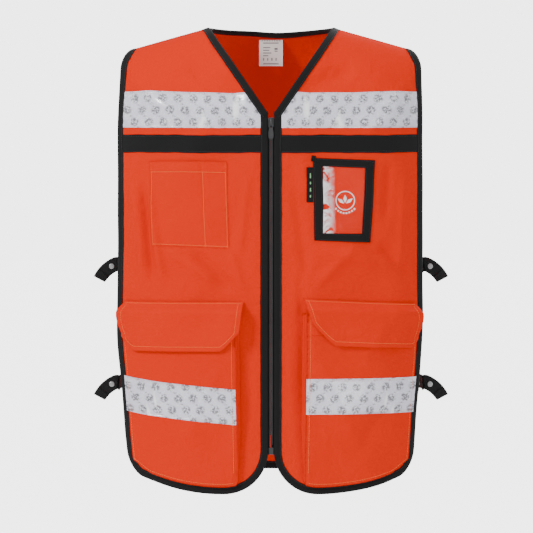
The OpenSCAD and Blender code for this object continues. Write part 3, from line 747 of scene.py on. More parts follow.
def shell_cloth():
    # painted light: a glow in the cloth's own colour lifts its shaded parts
    return fabric(
        "shell_weave", *shades("shell", 0.8, 1, 0.86), weave_group(), 0.12,
        roughness=0.8, sheen=0.0, crumple=5.0, painted_glow=0.2, specular=0.04, Threads_per_metre=1700.0,
    )


def black_trim():
    return fabric(
        "trim_ribbon", *shades("trim", 0.55, 1.25, 1.7), rib_group(), 0.12,
        roughness=0.78, sheen=0.04, crumple=0.25, specular=0.15, Ribs_per_metre=850.0,
    )


def webbing():
    return fabric(
        "strap_webbing", *shades("trim", 0.5, 1.3, 1.6), rib_group(), 0.3,
        roughness=0.7, sheen=0.06, specular=0.2, Ribs_per_metre=520.0,
    )


def zip_cloth():
    return fabric(
        "zip_ribbon_weave", *shades("trim", 0.5, 1.1, 1.4), weave_group(), 0.12,
        roughness=0.85, sheen=0.05, specular=0.15, Threads_per_metre=1300.0,
    )


def label_cloth():
    return fabric(
        "label_weave", (0.62, 0.62, 0.6), (0.86, 0.86, 0.84), (0.74, 0.73, 0.7), weave_group(), 0.06,
        roughness=0.6, sheen=0.2, Threads_per_metre=2200.0,
    )


def pale_thread():
    return fabric(
        "pale_thread", *shades("thread", 0.7, 1, 0.85), rib_group(), 0.05,
        roughness=0.6, sheen=0.1, Ribs_per_metre=2.0,
    )


def pink_thread():
    return fabric(
        "pink_thread", (0.55, 0.3, 0.3), (0.75, 0.42, 0.4), (0.6, 0.4, 0.4), rib_group(), 0.05,
        roughness=0.6, sheen=0.1, Ribs_per_metre=2.0,
    )


def black_thread():
    return fabric(
        "black_thread", (0.012, 0.012, 0.013), (0.035, 0.035, 0.037), (0.03, 0.03, 0.03), rib_group(), 0.05,
        roughness=0.5, sheen=0.1, Ribs_per_metre=2.0,
    )


def reflective_tape():
    name = "retro_film"
    if name in bpy.data.materials:
        return bpy.data.materials[name]
    material, tree, shader, uv = new_material(name)
    grey, base, dark = shades("tape", 0.4, 1, 0.06)
    film = use(tree, ring_group(), uv)
    wear = use(tree, wear_group(), uv)
    colour = mix(tree, wear["Fibre"], grey, base)
    colour = mix(tree, maths(tree, "MULTIPLY", film["Mask"], 0.85), colour, dark)
    # painted sparkle: the grain's dots are made pale
    colour = mix(tree, maths(tree, "MULTIPLY", film["Grain"], 0.8), colour, (0.93, 0.95, 1.0))
    # painted highlight: the streaks turn the film white
    colour = mix(tree, maths(tree, "MULTIPLY", film["Streak"], 0.7), colour, (1.0, 1.0, 1.0))
    tree.links.new(colour, shader.inputs["Base Color"])
    rough = maths(tree, "MULTIPLY_ADD", film["Grain"], -0.2, 0.45)
    tree.links.new(rough, shader.inputs["Roughness"])
    near = node(tree, "ShaderNodeBump", {"Height": film["Height"]}, Strength=0.5, Distance=0.12 * MM)
    far = node(tree, "ShaderNodeBump", {"Height": wear["Crumple"], "Normal": near.outputs[0]}, Strength=0.7,
               Distance=1.6 * MM)
    tree.links.new(far.outputs[0], shader.inputs["Normal"])
    shader.inputs["Metallic"].default_value = 0.1
    shader.inputs["Coat Weight"].default_value = 0.7
    shader.inputs["Coat Roughness"].default_value = 0.12
    return material


def clear_vinyl():
    name = "vinyl_film"
    if name in bpy.data.materials:
        return bpy.data.materials[name]
    material, tree, shader, uv = new_material(name)
    wear = use(tree, wear_group(), uv, Patch_size=22.0)
    glare = use(tree, glare_group(), uv)
    colour = mix(tree, wear["Tone"], (0.8, 0.8, 0.82), (0.95, 0.95, 0.97))
    tree.links.new(colour, shader.inputs["Base Color"])
    tree.links.new(maths(tree, "MULTIPLY_ADD", wear["Tone"], 0.16, 0.04), shader.inputs["Roughness"])
    haze = maths(tree, "MULTIPLY", wear["Tone"], 0.01)
    # painted highlight: the glare stripe makes the pale film show opaque down one edge
    tree.links.new(maths(tree, "MULTIPLY_ADD", glare["Mask"], 0.75, haze), shader.inputs["Alpha"])
    bump = node(tree, "ShaderNodeBump", {"Height": wear["Crumple"]}, Strength=0.6, Distance=1.6 * MM)
    tree.links.new(bump.outputs[0], shader.inputs["Normal"])
    shader.inputs["Coat Weight"].default_value = 1.0
    shader.inputs["Coat Roughness"].default_value = 0.03
    return material


def hard(name, dark, light, roughness, metallic=0.0):
    """Moulded or pressed hardware with handling marks."""
    if name in bpy.data.materials:
        return bpy.data.materials[name]
    material, tree, shader, _ = new_material(name)
    place = tree.nodes.new("ShaderNodeTexCoord").outputs["Object"]
    wear = use(tree, wear_group(), place, Patch_size=90.0)
    tree.links.new(mix(tree, wear["Tone"], dark, light), shader.inputs["Base Color"])
    tree.links.new(maths(tree, "MULTIPLY_ADD", wear["Fibre"], 0.2, roughness - 0.1), shader.inputs["Roughness"])
    bump = node(tree, "ShaderNodeBump", {"Height": wear["Fibre"]}, Strength=0.25, Distance=0.05 * MM)
    tree.links.new(bump.outputs[0], shader.inputs["Normal"])
    shader.inputs["Metallic"].default_value = metallic
    return material


def zip_plastic():
    return hard("moulded_plastic", (0.012, 0.012, 0.013), (0.035, 0.035, 0.037), 0.42)


def snap_metal():
    return hard("pressed_metal", (0.22, 0.22, 0.23), (0.42, 0.42, 0.43), 0.38, 0.6)


def hook_and_loop():
    return fabric(
        "hook_and_loop", (0.01, 0.01, 0.011), (0.04, 0.04, 0.042), (0.03, 0.03, 0.031), weave_group(), 0.9,
        roughness=0.95, sheen=0.5, Threads_per_metre=620.0,
    )


# ---------------------------------------------------------------- cloth panels
def pucker(distance, along, seed, depth=0.5, reach=7.0, gap=9.0):
    """Small gathers that a line of stitching leaves in the cloth beside it."""
    beside = np.where(distance > 0, np.exp(-((distance / reach) ** 2)) * ease(distance / 2.5), 0)
    return depth * beside * np.sin(2 * math.pi * along / gap + 2.2 * wander(along, seed))


def panel_columns(xs, lows, highs, low_rows=170, high_rows=52):
    """Chart grid of a panel; its rows crowd together towards the shoulder."""
    xs = np.asarray(xs)[:, None]
    lows, highs = np.asarray(lows)[:, None], np.asarray(highs)[:, None]
    t = np.linspace(0, 1, low_rows + 1)[None]
    lower = lerp(lows, np.minimum(highs, CHEST_Z), t)
    span = np.maximum(ridge_z(xs) - CHEST_Z, 1)
    turn = np.arcsin(np.clip((highs - CHEST_Z) / span, 0, 1))
    k = np.linspace(0, 1, high_rows + 1)[None, 1:]
    upper = CHEST_Z + span * np.sin(turn * k)
    z = np.concatenate([lower, upper], 1)
    return np.broadcast_to(xs, z.shape), z


def shell_panel(panel, x, z, extra):
    shape = Shape()
    shape.lay(panel.at, x, z, extra - 0.4, extra + 0.4)
    return shape


def banded(z):
    """Zero where tape or ribbon lies flat on the cloth."""
    clear = 1.0
    for (low, high), fade in ((CHEST_TAPE, 5), (CHEST_RIBBON, 4)):
        clear = clear * ease((np.abs(z - (low + high) / 2) - (high - low) / 2) / fade)
    return clear


def build_front_panel(panel):
    xs = np.concatenate([
        np.linspace(ZIP_GAP + 1.6, NECK_X, 38),
        across(NECK_X, EDGE_X - 1.6, np.linspace(0, 1, 56))[1:],
    ])
    inset = np.where((xs < NECK_X - 4) | (xs > EDGE_X - EDGE_ROUND), 1.6, 0.0)
    x, z = panel_columns(xs, front_hem(xs) + 1.6, front_top(xs) - inset)
    s = panel.seed
    extra = pucker(x - (ZIP_GAP + BINDING_W), z, s, 0.5) * banded(z)
    extra = extra + pucker(EDGE_X - BINDING_W - x, z, s + 1, 0.6) * banded(z)
    extra = extra + pucker(z - front_hem(x) - BINDING_W, x, s + 2, 0.5)
    extra = extra + pucker((vee_line(x) - z) / 1.75 - BINDING_W, z, s + 3, 0.5) * banded(z)
    below = CHEST_TAPE[0] - z
    extra = extra + pucker(below, x, s + 4, 0.35) * (below > 0) * banded(z)
    return shell_panel(panel, x, z, extra)


def build_back_panel(panel):
    side = np.concatenate([
        NECK_X * np.sin(np.linspace(0, math.pi / 2, 30)),
        across(NECK_X, EDGE_X - 1.6, np.linspace(0, 1, 50))[1:],
    ])
    xs = np.concatenate([-side[:0:-1], side])
    a = np.abs(xs)
    inset = np.where((a < NECK_X - 4) | (a > EDGE_X - EDGE_ROUND), 1.6, 0.0)
    x, z = panel_columns(xs, back_hem(xs) + 1.6, back_top(xs) - inset, 150, 48)
    extra = pucker(EDGE_X - BINDING_W - np.abs(x), z, 5.0, 0.6) * banded(z)
    extra = extra + pucker(z - back_hem(x) - BINDING_W, x, 6.0, 0.5)
    extra = extra * ease(np.abs(z - sum(WAIST_TAPE) / 2) / 6 - 4)
    return shell_panel(panel, x, z, extra)


def build_shoulder_seam(side):
    """The felled seam that joins front to back over the shoulder."""
    shape = Shape()
    xs = across(NECK_X + 2, EDGE_X - EDGE_ROUND + 2, np.linspace(0, 1, 46))
    ys = np.linspace(-8, 7, 15)
    rows = {}
    for off in (0.45, 1.15):
        lines = []
        for y in ys:
            half = FRONT if y < 0 else BACK
            reach = BODY_D * (1 - (xs / BODY_W) ** BODY_N) ** (1 / BODY_N)
            lean = (1 - (y / reach) ** 2) ** (1 / LEAN_N[half])
            edge = 0.55 if y in (ys[0], ys[-1]) and off > 1 else 1.0
            z = CHEST_Z + (ridge_z(xs) - CHEST_Z) * np.minimum(lean, 0.99999)
            lines.append(surface(xs, z, half, off * edge)[0] * [side, 1, 1] * MM)
        rows[off] = np.array(lines)
    uv = np.stack(np.meshgrid(ys, xs, indexing="ij"), -1) * MM
    shape.slab(rows[0.45], rows[1.15], uv)
    for y in (2, 12):
        line = rows[1.15][y]
        up = np.tile([0.0, 0.0, 1.0], (len(line), 1))
        shape.stitches(line, up)
    return shape


# ---------------------------------------------------------------- binding
LEAF = [
    (10.5, 0.5), (10.6, 1.1), (10.2, 1.45), (9.0, 1.25), (8.4, 1.2), (7.6, 1.42), (5.5, 1.7), (3.0, 1.8),
    (1.4, 1.75), (0.5, 1.35), (0.05, 0.7),
]


def build_binding(panel, chart, lift=0.0, width=1.0, seed=0.0):
    """A folded ribbon round a raw edge, with a row of stitching through both leaves."""
    chart = resample(np.asarray(chart, float), 3.2)
    point, normal = panel.at(chart[:, 0], chart[:, 1])
    tangent = unit(np.gradient(point, axis=0))
    # in the panel's own frame, before it is mirrored
    flip = np.array([panel.mirror, 1, 1])
    inward = panel.half * unit(np.cross(normal * flip, tangent * flip))
    run = run_length(point)
    breathe = (1 + 0.03 * wander(run / MM, seed)) * (1 + 0.3 * ease((np.abs(chart[:, 0]) - 200) / 9))

    def across_edge(s):
        """Chart points a distance s in from the edge."""
        x, z = chart[:, 0].copy(), chart[:, 1].copy()
        for _ in range(2):
            x = x + inward[:, 0] * s / 2 * BODY_W / form_w(z)
            z = z + inward[:, 2] * s / 2
        return x, z

    ring = LEAF + [(0.0, 0.0)] + [(d, -n) for d, n in LEAF[::-1]] + [(1.2, -0.45), (1.2, 0.45)]
    rings, uvs, girth, last = [], [], 0.0, ring[0]
    for d, n in ring:
        girth += math.hypot(d - last[0], n - last[1])
        last = (d, n)
        x, z = across_edge(d * width * breathe)
        off = n + (lift if n > 0 else -lift if n < 0 else 0)
        rings.append(panel.at(x, z, off)[0])
        uvs.append(np.stack([np.full(len(run), girth * MM), run], -1))
    shape = Shape()
    shape.loft(np.stack(rings, 1), np.stack(uvs, 1))
    for sign in (1, -1):
        x, z = across_edge(8.7 * width * breathe)
        line, up = panel.at(x, z, sign * (1.25 + lift))
        shape.stitches(line, sign * up, pitch=3.0, length=2.3, radius=0.24)
    return shape


def quarter(count, start=0.0):
    return np.sin(np.linspace(start, math.pi / 2, count))


def side_chart(hem, radius, count):
    """The bound edge from the shoulder tip down the side and round the low corner."""
    tip = EDGE_X - EDGE_ROUND + EDGE_ROUND * quarter(10)
    low = float(hem(np.array(EDGE_X)))
    corner = EDGE_X - radius * (1 - np.cos(np.linspace(0, math.pi / 2, count)))
    return np.concatenate([
        np.stack([tip, shoulder(tip)], -1),
        [(EDGE_X, z) for z in np.linspace(float(shoulder(np.array(EDGE_X))) - 4, low + 6, 80)],
        np.stack([corner, hem(corner)], -1),
    ])


def front_edge_chart():
    """A front's side and low corner, then along the hem and up the zip."""
    hem = np.linspace(EDGE_X - HEM_CORNER, ZIP_GAP + ZIP_CORNER, 24)
    turn = ZIP_GAP + ZIP_CORNER * (1 - quarter(28))
    return np.concatenate([
        side_chart(front_hem, HEM_CORNER, 10),
        np.stack([hem, front_hem(hem)], -1)[1:],
        np.stack([turn, front_hem(turn)], -1)[1:],
        [(ZIP_GAP, z) for z in np.linspace(ZIP_CORNER_H + 4, VEE_Z + 2, 70)],
    ])


def neck_chart():
    """The neckline from just below the zip's top to the shoulder."""
    x = ZIP_GAP - 1 + (NECK_X - ZIP_GAP + 1) * quarter(60)
    return np.stack([x, np.minimum(vee_line(x), ridge_z(x) - 0.02)], -1)


def back_edge_chart():
    """Both sides of the back and its hem in one line."""
    hem = np.linspace(EDGE_X - BACK_CORNER, 0, 30)
    half = np.concatenate([side_chart(back_hem, BACK_CORNER, 14), np.stack([hem, back_hem(hem)], -1)[1:]])
    return np.concatenate([half, half[-2::-1] * [-1, 1]])


def nape_chart():
    x = NECK_X * np.sin(np.linspace(-math.pi / 2, math.pi / 2, 70))
    return np.stack([x, back_top(x * 0.9999)], -1)


# ---------------------------------------------------------------- bands
def band(panel, z0, z1, x_low, x_high, off, rows, cols, wave=0.0, roll=0.0):
    """A strip sewn on a panel. x_low and x_high give its ends for an array of heights."""
    t = np.linspace(0, 1, rows + 1)
    z = lerp(z0, z1, t)
    u = np.linspace(0, 1, cols + 1)[:, None]
    x = across(x_low(z)[None], x_high(z)[None], u)
    z = np.broadcast_to(z[None], x.shape) + wave * wander(x * 0.4, panel.seed + z0)
    puff = roll * np.sin(math.pi * t)[None]
    shape = Shape()
    shape.lay(panel.at, x, z, off[0], off[1] + puff)
    return shape


def band_stitches(shape, panel, z, x0, x1, off, **style):
    x = across(x0, x1, np.linspace(0, 1, 60))
    line, up = panel.at(x, np.full_like(x, z) + style.pop("wave", 0.0) * wander(x * 0.4, panel.seed), off)
    shape.stitches(line, up, **style)


def constant(value):
    return lambda z: np.full_like(z, value)


def build_chest_tape(panel):
    def inner(z):
        return np.maximum(ZIP_GAP + BINDING_W - 2.5, vee_inset(z) - 2.5)

    low, high = CHEST_TAPE
    shape = band(panel, low, high, inner, constant(EDGE_X - EDGE_GAP), (0.45, 1.05), 14, 80, roll=0.15)
    for z, inward in ((low + 2.2, 1), (high - 2.4, -1)):
        x0 = float(inner(np.array(z))) + 3
        for dz in (0, 1.7):
            band_stitches(shape, panel, z + dz * inward, x0, EDGE_X - 10, 1.05, **BAND_STITCH)
    return shape


def build_chest_ribbon(panel):
    low, high = CHEST_RIBBON
    ends = constant(ZIP_GAP + BINDING_W - 2.5), constant(EDGE_X - EDGE_GAP)
    shape = band(panel, low, high, *ends, (0.45, 1.1), 8, 80, wave=RIBBON_WAVE)
    for z in (low + 1.8, high - 1.8):
        band_stitches(shape, panel, z, ZIP_GAP + BINDING_W, EDGE_X - 10, 1.1, wave=RIBBON_WAVE, **BAND_STITCH)
    return shape


def build_back_band(panel, z0, z1, wave=0.0, roll=0.15):
    reach = EDGE_X - EDGE_GAP
    shape = band(panel, z0, z1, constant(-reach), constant(reach), (0.45, 1.05), 12, 150, wave=wave, roll=roll)
    for z in (z0 + 2.2, z1 - 2.2):
        band_stitches(shape, panel, z, -EDGE_X + 11, EDGE_X - 11, 1.06, wave=wave, **BAND_STITCH)
    return shape


# ---------------------------------------------------------------- zip
def build_zip_tape(mirror):
    shape = Shape()
    z = np.linspace(56, 527, 160)
    x = np.linspace(0.75, 14.4, 8)
    gx, gz = np.meshgrid(x, z, indexing="ij")
    ripple = 0.12 * np.sin(gz / 5.0) * ease((gx - 8) / 5)
    inner = np.stack([gx * mirror, ZIP_Y + 2.9 + ripple, gz], -1) * MM
    outer = np.stack([gx * mirror, ZIP_Y + 2.2 + ripple, gz], -1) * MM
    shape.slab(inner, outer, np.stack([gx, gz], -1) * MM)
    line = np.stack([np.full(160, 12.6 * mirror), np.full(160, ZIP_Y + 3.0), z], -1) * MM
    shape.stitches(line, np.tile([0.0, 1.0, 0.0], (160, 1)), pitch=3.2)
    return shape


def build_zip_teeth(mirror, shift):
    shape = Shape()
    for z in np.arange(84 + shift, 513, 3.0):
        side = Matrix.Diagonal((mirror, 1, 1, 1))
        at = Matrix.Translation(Vector((0, (ZIP_Y + 2.5) * MM, z * MM))) @ side
        shape.block((0.5, -1.25, -0.62), (2.7, 1.25, 0.62), 0.3, at, segments=1)
        shape.block((-0.68, -1.05, -0.74), (0.7, 1.05, 0.74), 0.12, at, segments=1)
    at = Matrix.Translation(Vector((0, (ZIP_Y + 2.5) * MM, 514.5 * MM))) @ Matrix.Diagonal((mirror, 1, 1, 1))
    shape.block((0.4, -1.3, -1.4), (2.9, 1.3, 1.4), 0.5, at)
    angle = np.arange(8) * math.pi / 4
    z = np.repeat(np.linspace(70, 526, 120), 8).reshape(120, 8)
    uv = np.stack([np.broadcast_to(angle, z.shape), z], -1) * MM
    for depth in (-1.0, 1.0):
        x = mirror * (2.3 + 0.5 * np.cos(angle)) + 0 * z
        y = ZIP_Y + 2.5 + depth + 0.5 * np.sin(angle) + 0 * z
        shape.loft(np.stack([x, y, z], -1) * MM, uv)
    return shape


def build_zip_box():
    shape = Shape()
    at = Matrix.Translation(Vector((0, (ZIP_Y + 1.2) * MM, 61 * MM)))
    shape.block((-3.4, -0.9, -5), (3.7, 0.95, 4.8), 0.6, at)
    shape.block((-2.4, -1.25, -3.6), (2.6, -0.6, 3.2), 0.3, at)
    shape.block((-1.6, -1.45, -2.4), (1.8, -1.0, 1.8), 0.2, at)
    return shape


def build_zip_pin():
    shape = Shape()
    at = Matrix.Translation(Vector((-1.7 * MM, (ZIP_Y + 1.45) * MM, 75 * MM)))
    shape.block((-0.8, -0.55, -8.3), (0.8, 0.55, 8.5), 0.35, at)
    return shape


def build_slider():
    shape = Shape()
    at = Matrix.Translation(Vector((0, ZIP_Y * MM, 522 * MM)))
    outline = [(-3.3, -7), (3.3, -7), (3.9, -6), (3.9, 3.5), (2.9, 6), (1.2, 7), (0, 6.2), (-1.2, 7), (-2.9, 6),
               (-3.9, 3.5), (-3.9, -6)]
    shape.prism(outline, -0.6, 0.85, 0.35, at)
    wide = [(-3.9, -7), (3.9, -7), (4.8, -5.5), (4.8, 3.0), (3.4, 6.5), (-3.4, 6.5), (-4.8, 3.0), (-4.8, -5.5)]
    shape.prism(wide, 4.15, 5.5, 0.35, at)
    for side in (-1, 1):
        shape.block((side * 3.55 - 0.35, 0.4, -6.5), (side * 3.55 + 0.35, 1.6, 5.0), 0.2, at)
        shape.block((side * 3.55 - 0.35, 3.4, -6.5), (side * 3.55 + 0.35, 4.6, 5.0), 0.2, at)
    # crown, an arch that the pull hangs on
    t = np.linspace(0, math.pi, 15)
    arch = np.stack([np.zeros(15), -0.5 - 2.6 * np.sin(t) ** 0.8, -5.4 * np.cos(t) - 0.4], -1)
    tangent = unit(np.gradient(arch, axis=0))
    out = unit(np.cross(tangent, [1.0, 0, 0]))
    ring = []
    for du, dn in ((-1, -0.45), (1, -0.45), (1.25, 0), (1, 0.45), (-1, 0.45), (-1.25, 0)):
        ring.append(arch + np.array([du, 0, 0]) + dn * out)
    shape.loft(np.stack(ring, 1) * MM + np.array([0, ZIP_Y, 522]) * MM)
    return shape


def build_pull():
    shape = Shape()
    at = Matrix.Translation(Vector((0, (ZIP_Y - 2.2) * MM, 522 * MM)))
    # two arms and the bar that hooks the crown
    for side in (-1, 1):
        shape.block((side * 2.1 - 0.55, -0.6, -8.4), (side * 2.1 + 0.55, 0.6, 0.7), 0.3, at)
    shape.block((-2.6, -0.55, -0.6), (2.6, 0.55, 0.6), 0.35, at)
    width = lambda s: 2.75 + 0.85 * ease(s / 9)
    left = [(-width(s), -7.4 - s) for s in np.linspace(0, 12.8, 10)]
    arc = [(3.6 * math.cos(a), -20.4 + 3.6 * math.sin(a)) for a in np.linspace(math.pi, 2 * math.pi, 17)]
    outline = left + arc[1:-1] + [(-p[0], p[1]) for p in left[::-1]]
    shape.prism(outline, -0.75, 0.75, 0.35, at)
    # raised rim and a round eyelet near the end
    for depth in (-0.75, 0.75):
        face = at @ Matrix.Translation(Vector((0, depth * MM, -20.3 * MM)))
        face = face @ Matrix.Rotation(math.radians(90 if depth < 0 else -90), 4, "X")
        rim = [(1.2, -0.3), (1.2, 0.25), (1.45, 0.4), (1.9, 0.35), (2.1, 0.1), (2.1, -0.3)]
        shape.lathe(rim, face, sides=28)
    for side in (-1, 1):
        shape.block((side * 2.5 - 0.3, -0.95, -18.0), (side * 2.5 + 0.3, -0.6, -9.0), 0.12, at, segments=1)
    return shape


# ---------------------------------------------------------------- chest pocket and identity window
def build_chest_pocket(panel):
    shape = Shape()
    u = np.linspace(0, 1, 58)[:, None]
    v = np.linspace(0, 1, 56)[None]
    x = lerp(lerp(58.8, 163.8, u), lerp(62, 170, u), v)
    z = lerp(lerp(345.2, 348.8, u), 466.6 + 0.9 * np.sin(math.pi * u), v)
    slack = np.sin(math.pi * np.clip(u, 0, 1)) ** 0.7
    bulge = 2.3 * slack * (0.35 + 0.65 * v) * ease(v * 6)
    bulge = bulge - 1.1 * np.exp(-(((u - 0.315) / 0.03) ** 2)) * ease(v * 3)
    edge = np.minimum(np.minimum(u, 1 - u) * 108, v * 120)
    bulge = bulge + 0.5 * np.exp(-((edge - 3) / 4) ** 2) * np.sin((x + z * 1.3) / 1.9 + 2 * wander(z, 1))
    bulge = bulge + crease(x, z, (72, 350), (120, 440), 9, 1.3) * slack
    bulge = bulge + crease(x, z, (160, 360), (120, 420), 8, -1.1) * slack
    outer = panel.at(x, z, 1.25 + bulge)[0]
    shape.lay(panel.at, x, z, 0.5 + bulge * 0.98, 1.25 + bulge)
    # the turned hem along the mouth
    hem = slice(48, 56)
    lift = np.full((1, 8), 0.5)
    lift[0, 0] = 0.1
    shape.lay(panel.at, x[:, hem], z[:, hem], 1.2 + bulge[:, hem], 1.25 + bulge[:, hem] + lift)

    def line(us, vs, extra=0.0):
        """Points and normals on the pocket's face, which is 57 cells wide and 55 high."""
        i = np.clip(np.asarray(us) * 57, 0, 57)
        j = np.clip(np.asarray(vs) * 55, 0, 55)
        fi, fj = np.floor(i).astype(int), np.floor(j).astype(int)
        ci, cj = np.minimum(fi + 1, 57), np.minimum(fj + 1, 55)
        a, b = (i - fi)[:, None], (j - fj)[:, None]
        low = outer[fi, fj] * (1 - a) + outer[ci, fj] * a
        high = outer[fi, cj] * (1 - a) + outer[ci, cj] * a
        n = surface(lerp(60, 168, np.asarray(us)), lerp(346, 466, np.asarray(vs)), FRONT, 0)[1]
        n = n * [panel.mirror, 1, 1]
        return low * (1 - b) + high * b + n * extra * MM, n

    run = np.linspace(0, 1, 60)
    shape.stitches(*line(0.02 + 0 * run, run))
    shape.stitches(*line(0.98 + 0 * run, run))
    shape.stitches(*line(lerp(0.02, 0.98, run), 0.02 + 0 * run))
    shape.stitches(*line(lerp(0.02, 0.98, run), 0.875 + 0 * run, 0.2))
    shape.stitches(*line(0.315 + 0 * run, run * 0.995))
    for corner in (0.01, 0.99):
        for k in range(5):
            tack = np.linspace(-0.018, 0.018, 4)
            us = np.clip(corner + tack, 0.002, 0.998)
            shape.stitches(*line(us, 0.985 - 0.012 * k + 0 * tack, 0.1), pitch=1.3, length=1.4, radius=0.28)
    return shape


ID_OUTER = [(60.5, 356.5), (139.6, 353.0), (144.6, 468.5), (58.8, 472.0)]
ID_INNER = [(72.5, 366.6), (128.0, 365.4), (131.6, 457.6), (72.5, 460.2)]


def chart_quad(corners, u, v):
    """A point of a four-cornered patch: corners run round from the lower left."""
    a, b, c, d = [np.array(p, float) for p in corners]
    u, v = u[..., None], v[..., None]
    return lerp(lerp(a, b, u), lerp(d, c, u), v)


def build_id_frame(panel):
    shape = Shape()
    for k in range(4):
        p, q = ID_OUTER[k], ID_OUTER[(k + 1) % 4]
        pi, qi = ID_INNER[k], ID_INNER[(k + 1) % 4]
        u, v = grid(40, 7)
        flat = chart_quad([p, q, qi, pi], u, v)
        side = np.hypot(q[0] - p[0], q[1] - p[1])
        lump = 0.28 * np.sin(math.pi * v) + 0.12 * wander(u * side, k + 2.0)
        shape.lay(panel.at, flat[..., 0], flat[..., 1], 0.5, 1.75 + lump + 0.12 * (k % 2),
                  uv=np.stack([v * 12.0, u * side], -1))
        for row in (0.14, 0.86):
            t = np.linspace(0.04, 0.96, 30)
            c = chart_quad([p, q, qi, pi], t, np.full_like(t, row))
            line, up = panel.at(c[:, 0], c[:, 1], 1.92 + 0.12 * (k % 2))
            shape.stitches(line, up, pitch=2.8, length=2.1, radius=0.2)
    # the top strip's loose corner
    ear = chart_quad([(56.0, 467.5), (62.0, 466.0), (63.0, 474.5), (57.0, 475.5)], *grid(6, 6))
    shape.lay(panel.at, ear[..., 0], ear[..., 1], 0.6, 1.5)
    return shape


def build_id_window(panel):
    shape = Shape()
    u, v = grid(40, 50)
    flat = chart_quad(ID_INNER, lerp(-0.03, 1.03, u), lerp(-0.02, 1.02, v))
    slack = np.sin(math.pi * u) ** 0.6 * np.sin(math.pi * v) ** 0.6
    swell = 1.5 * slack + 0.45 * slack * np.sin(5 * u + 2.4 * np.sin(4 * v))
    swell = swell + 0.3 * slack * np.sin(9 * v + 3 * u)
    shape.lay(panel.at, flat[..., 0], flat[..., 1], 0.95 + swell, 1.3 + swell)
    return shape


def build_window_print(panel):
    """Thin printed marks on the cloth under the window."""
    shape = Shape()

    def stroke(points, width):
        line = resample(np.asarray(points, float), 1.2)
        t = unit(np.gradient(line, axis=0))
        side = np.stack([t[:, 1], -t[:, 0]], -1)
        width = np.atleast_1d(np.asarray(width, float))
        taper = np.interp(np.linspace(0, 1, len(line)), np.linspace(0, 1, len(width)), width)
        flat = np.stack([line - side * taper[:, None] / 2, line + side * taper[:, None] / 2], 1)
        shape.lay(panel.at, flat[..., 0], flat[..., 1], 0.45, 0.6)

    def turn(cx, cz, radius, first, last, width):
        a = np.radians(np.linspace(first, last, 60))
        stroke(np.stack([cx + radius * np.cos(a), cz + radius * np.sin(a)], -1), width)

    # a ring round a sprig of three leaves, over a curved row of plain dashes
    cx, cz = 104, 412
    turn(cx, cz, 13, 0, 360, 1.3)
    for lean in (-52, 0, 52):
        dx, dz = math.sin(math.radians(lean)), math.cos(math.radians(lean))
        stroke([(cx + far * dx, cz - 5 + far * dz) for far in (2, 7, 13)], [0.4, 5.2, 0.4])
    for middle in range(-140, -39, 14):
        turn(cx, cz, 17.5, middle - 4, middle + 4, 2.6)
    return shape


def build_side_tag(panel):
    shape = Shape()
    u, v = grid(12, 30)
    x, z = lerp(49.6, 58.7, u), lerp(410, 459, v)
    curl = 0.5 + 0.9 * (1 - u) ** 2 + 0.25 * np.sin(9 * v)
    shape.lay(panel.at, x, z, 0.55 + curl, 1.15 + curl)
    for low_row, high_row in ((4, 7), (9, 13), (15, 18), (20, 25)):
        mark = (slice(5, 8), slice(low_row, high_row))
        shape.lay(panel.at, x[mark], z[mark], 1.1 + curl[mark], 1.35 + curl[mark], mat=2)
    return shape


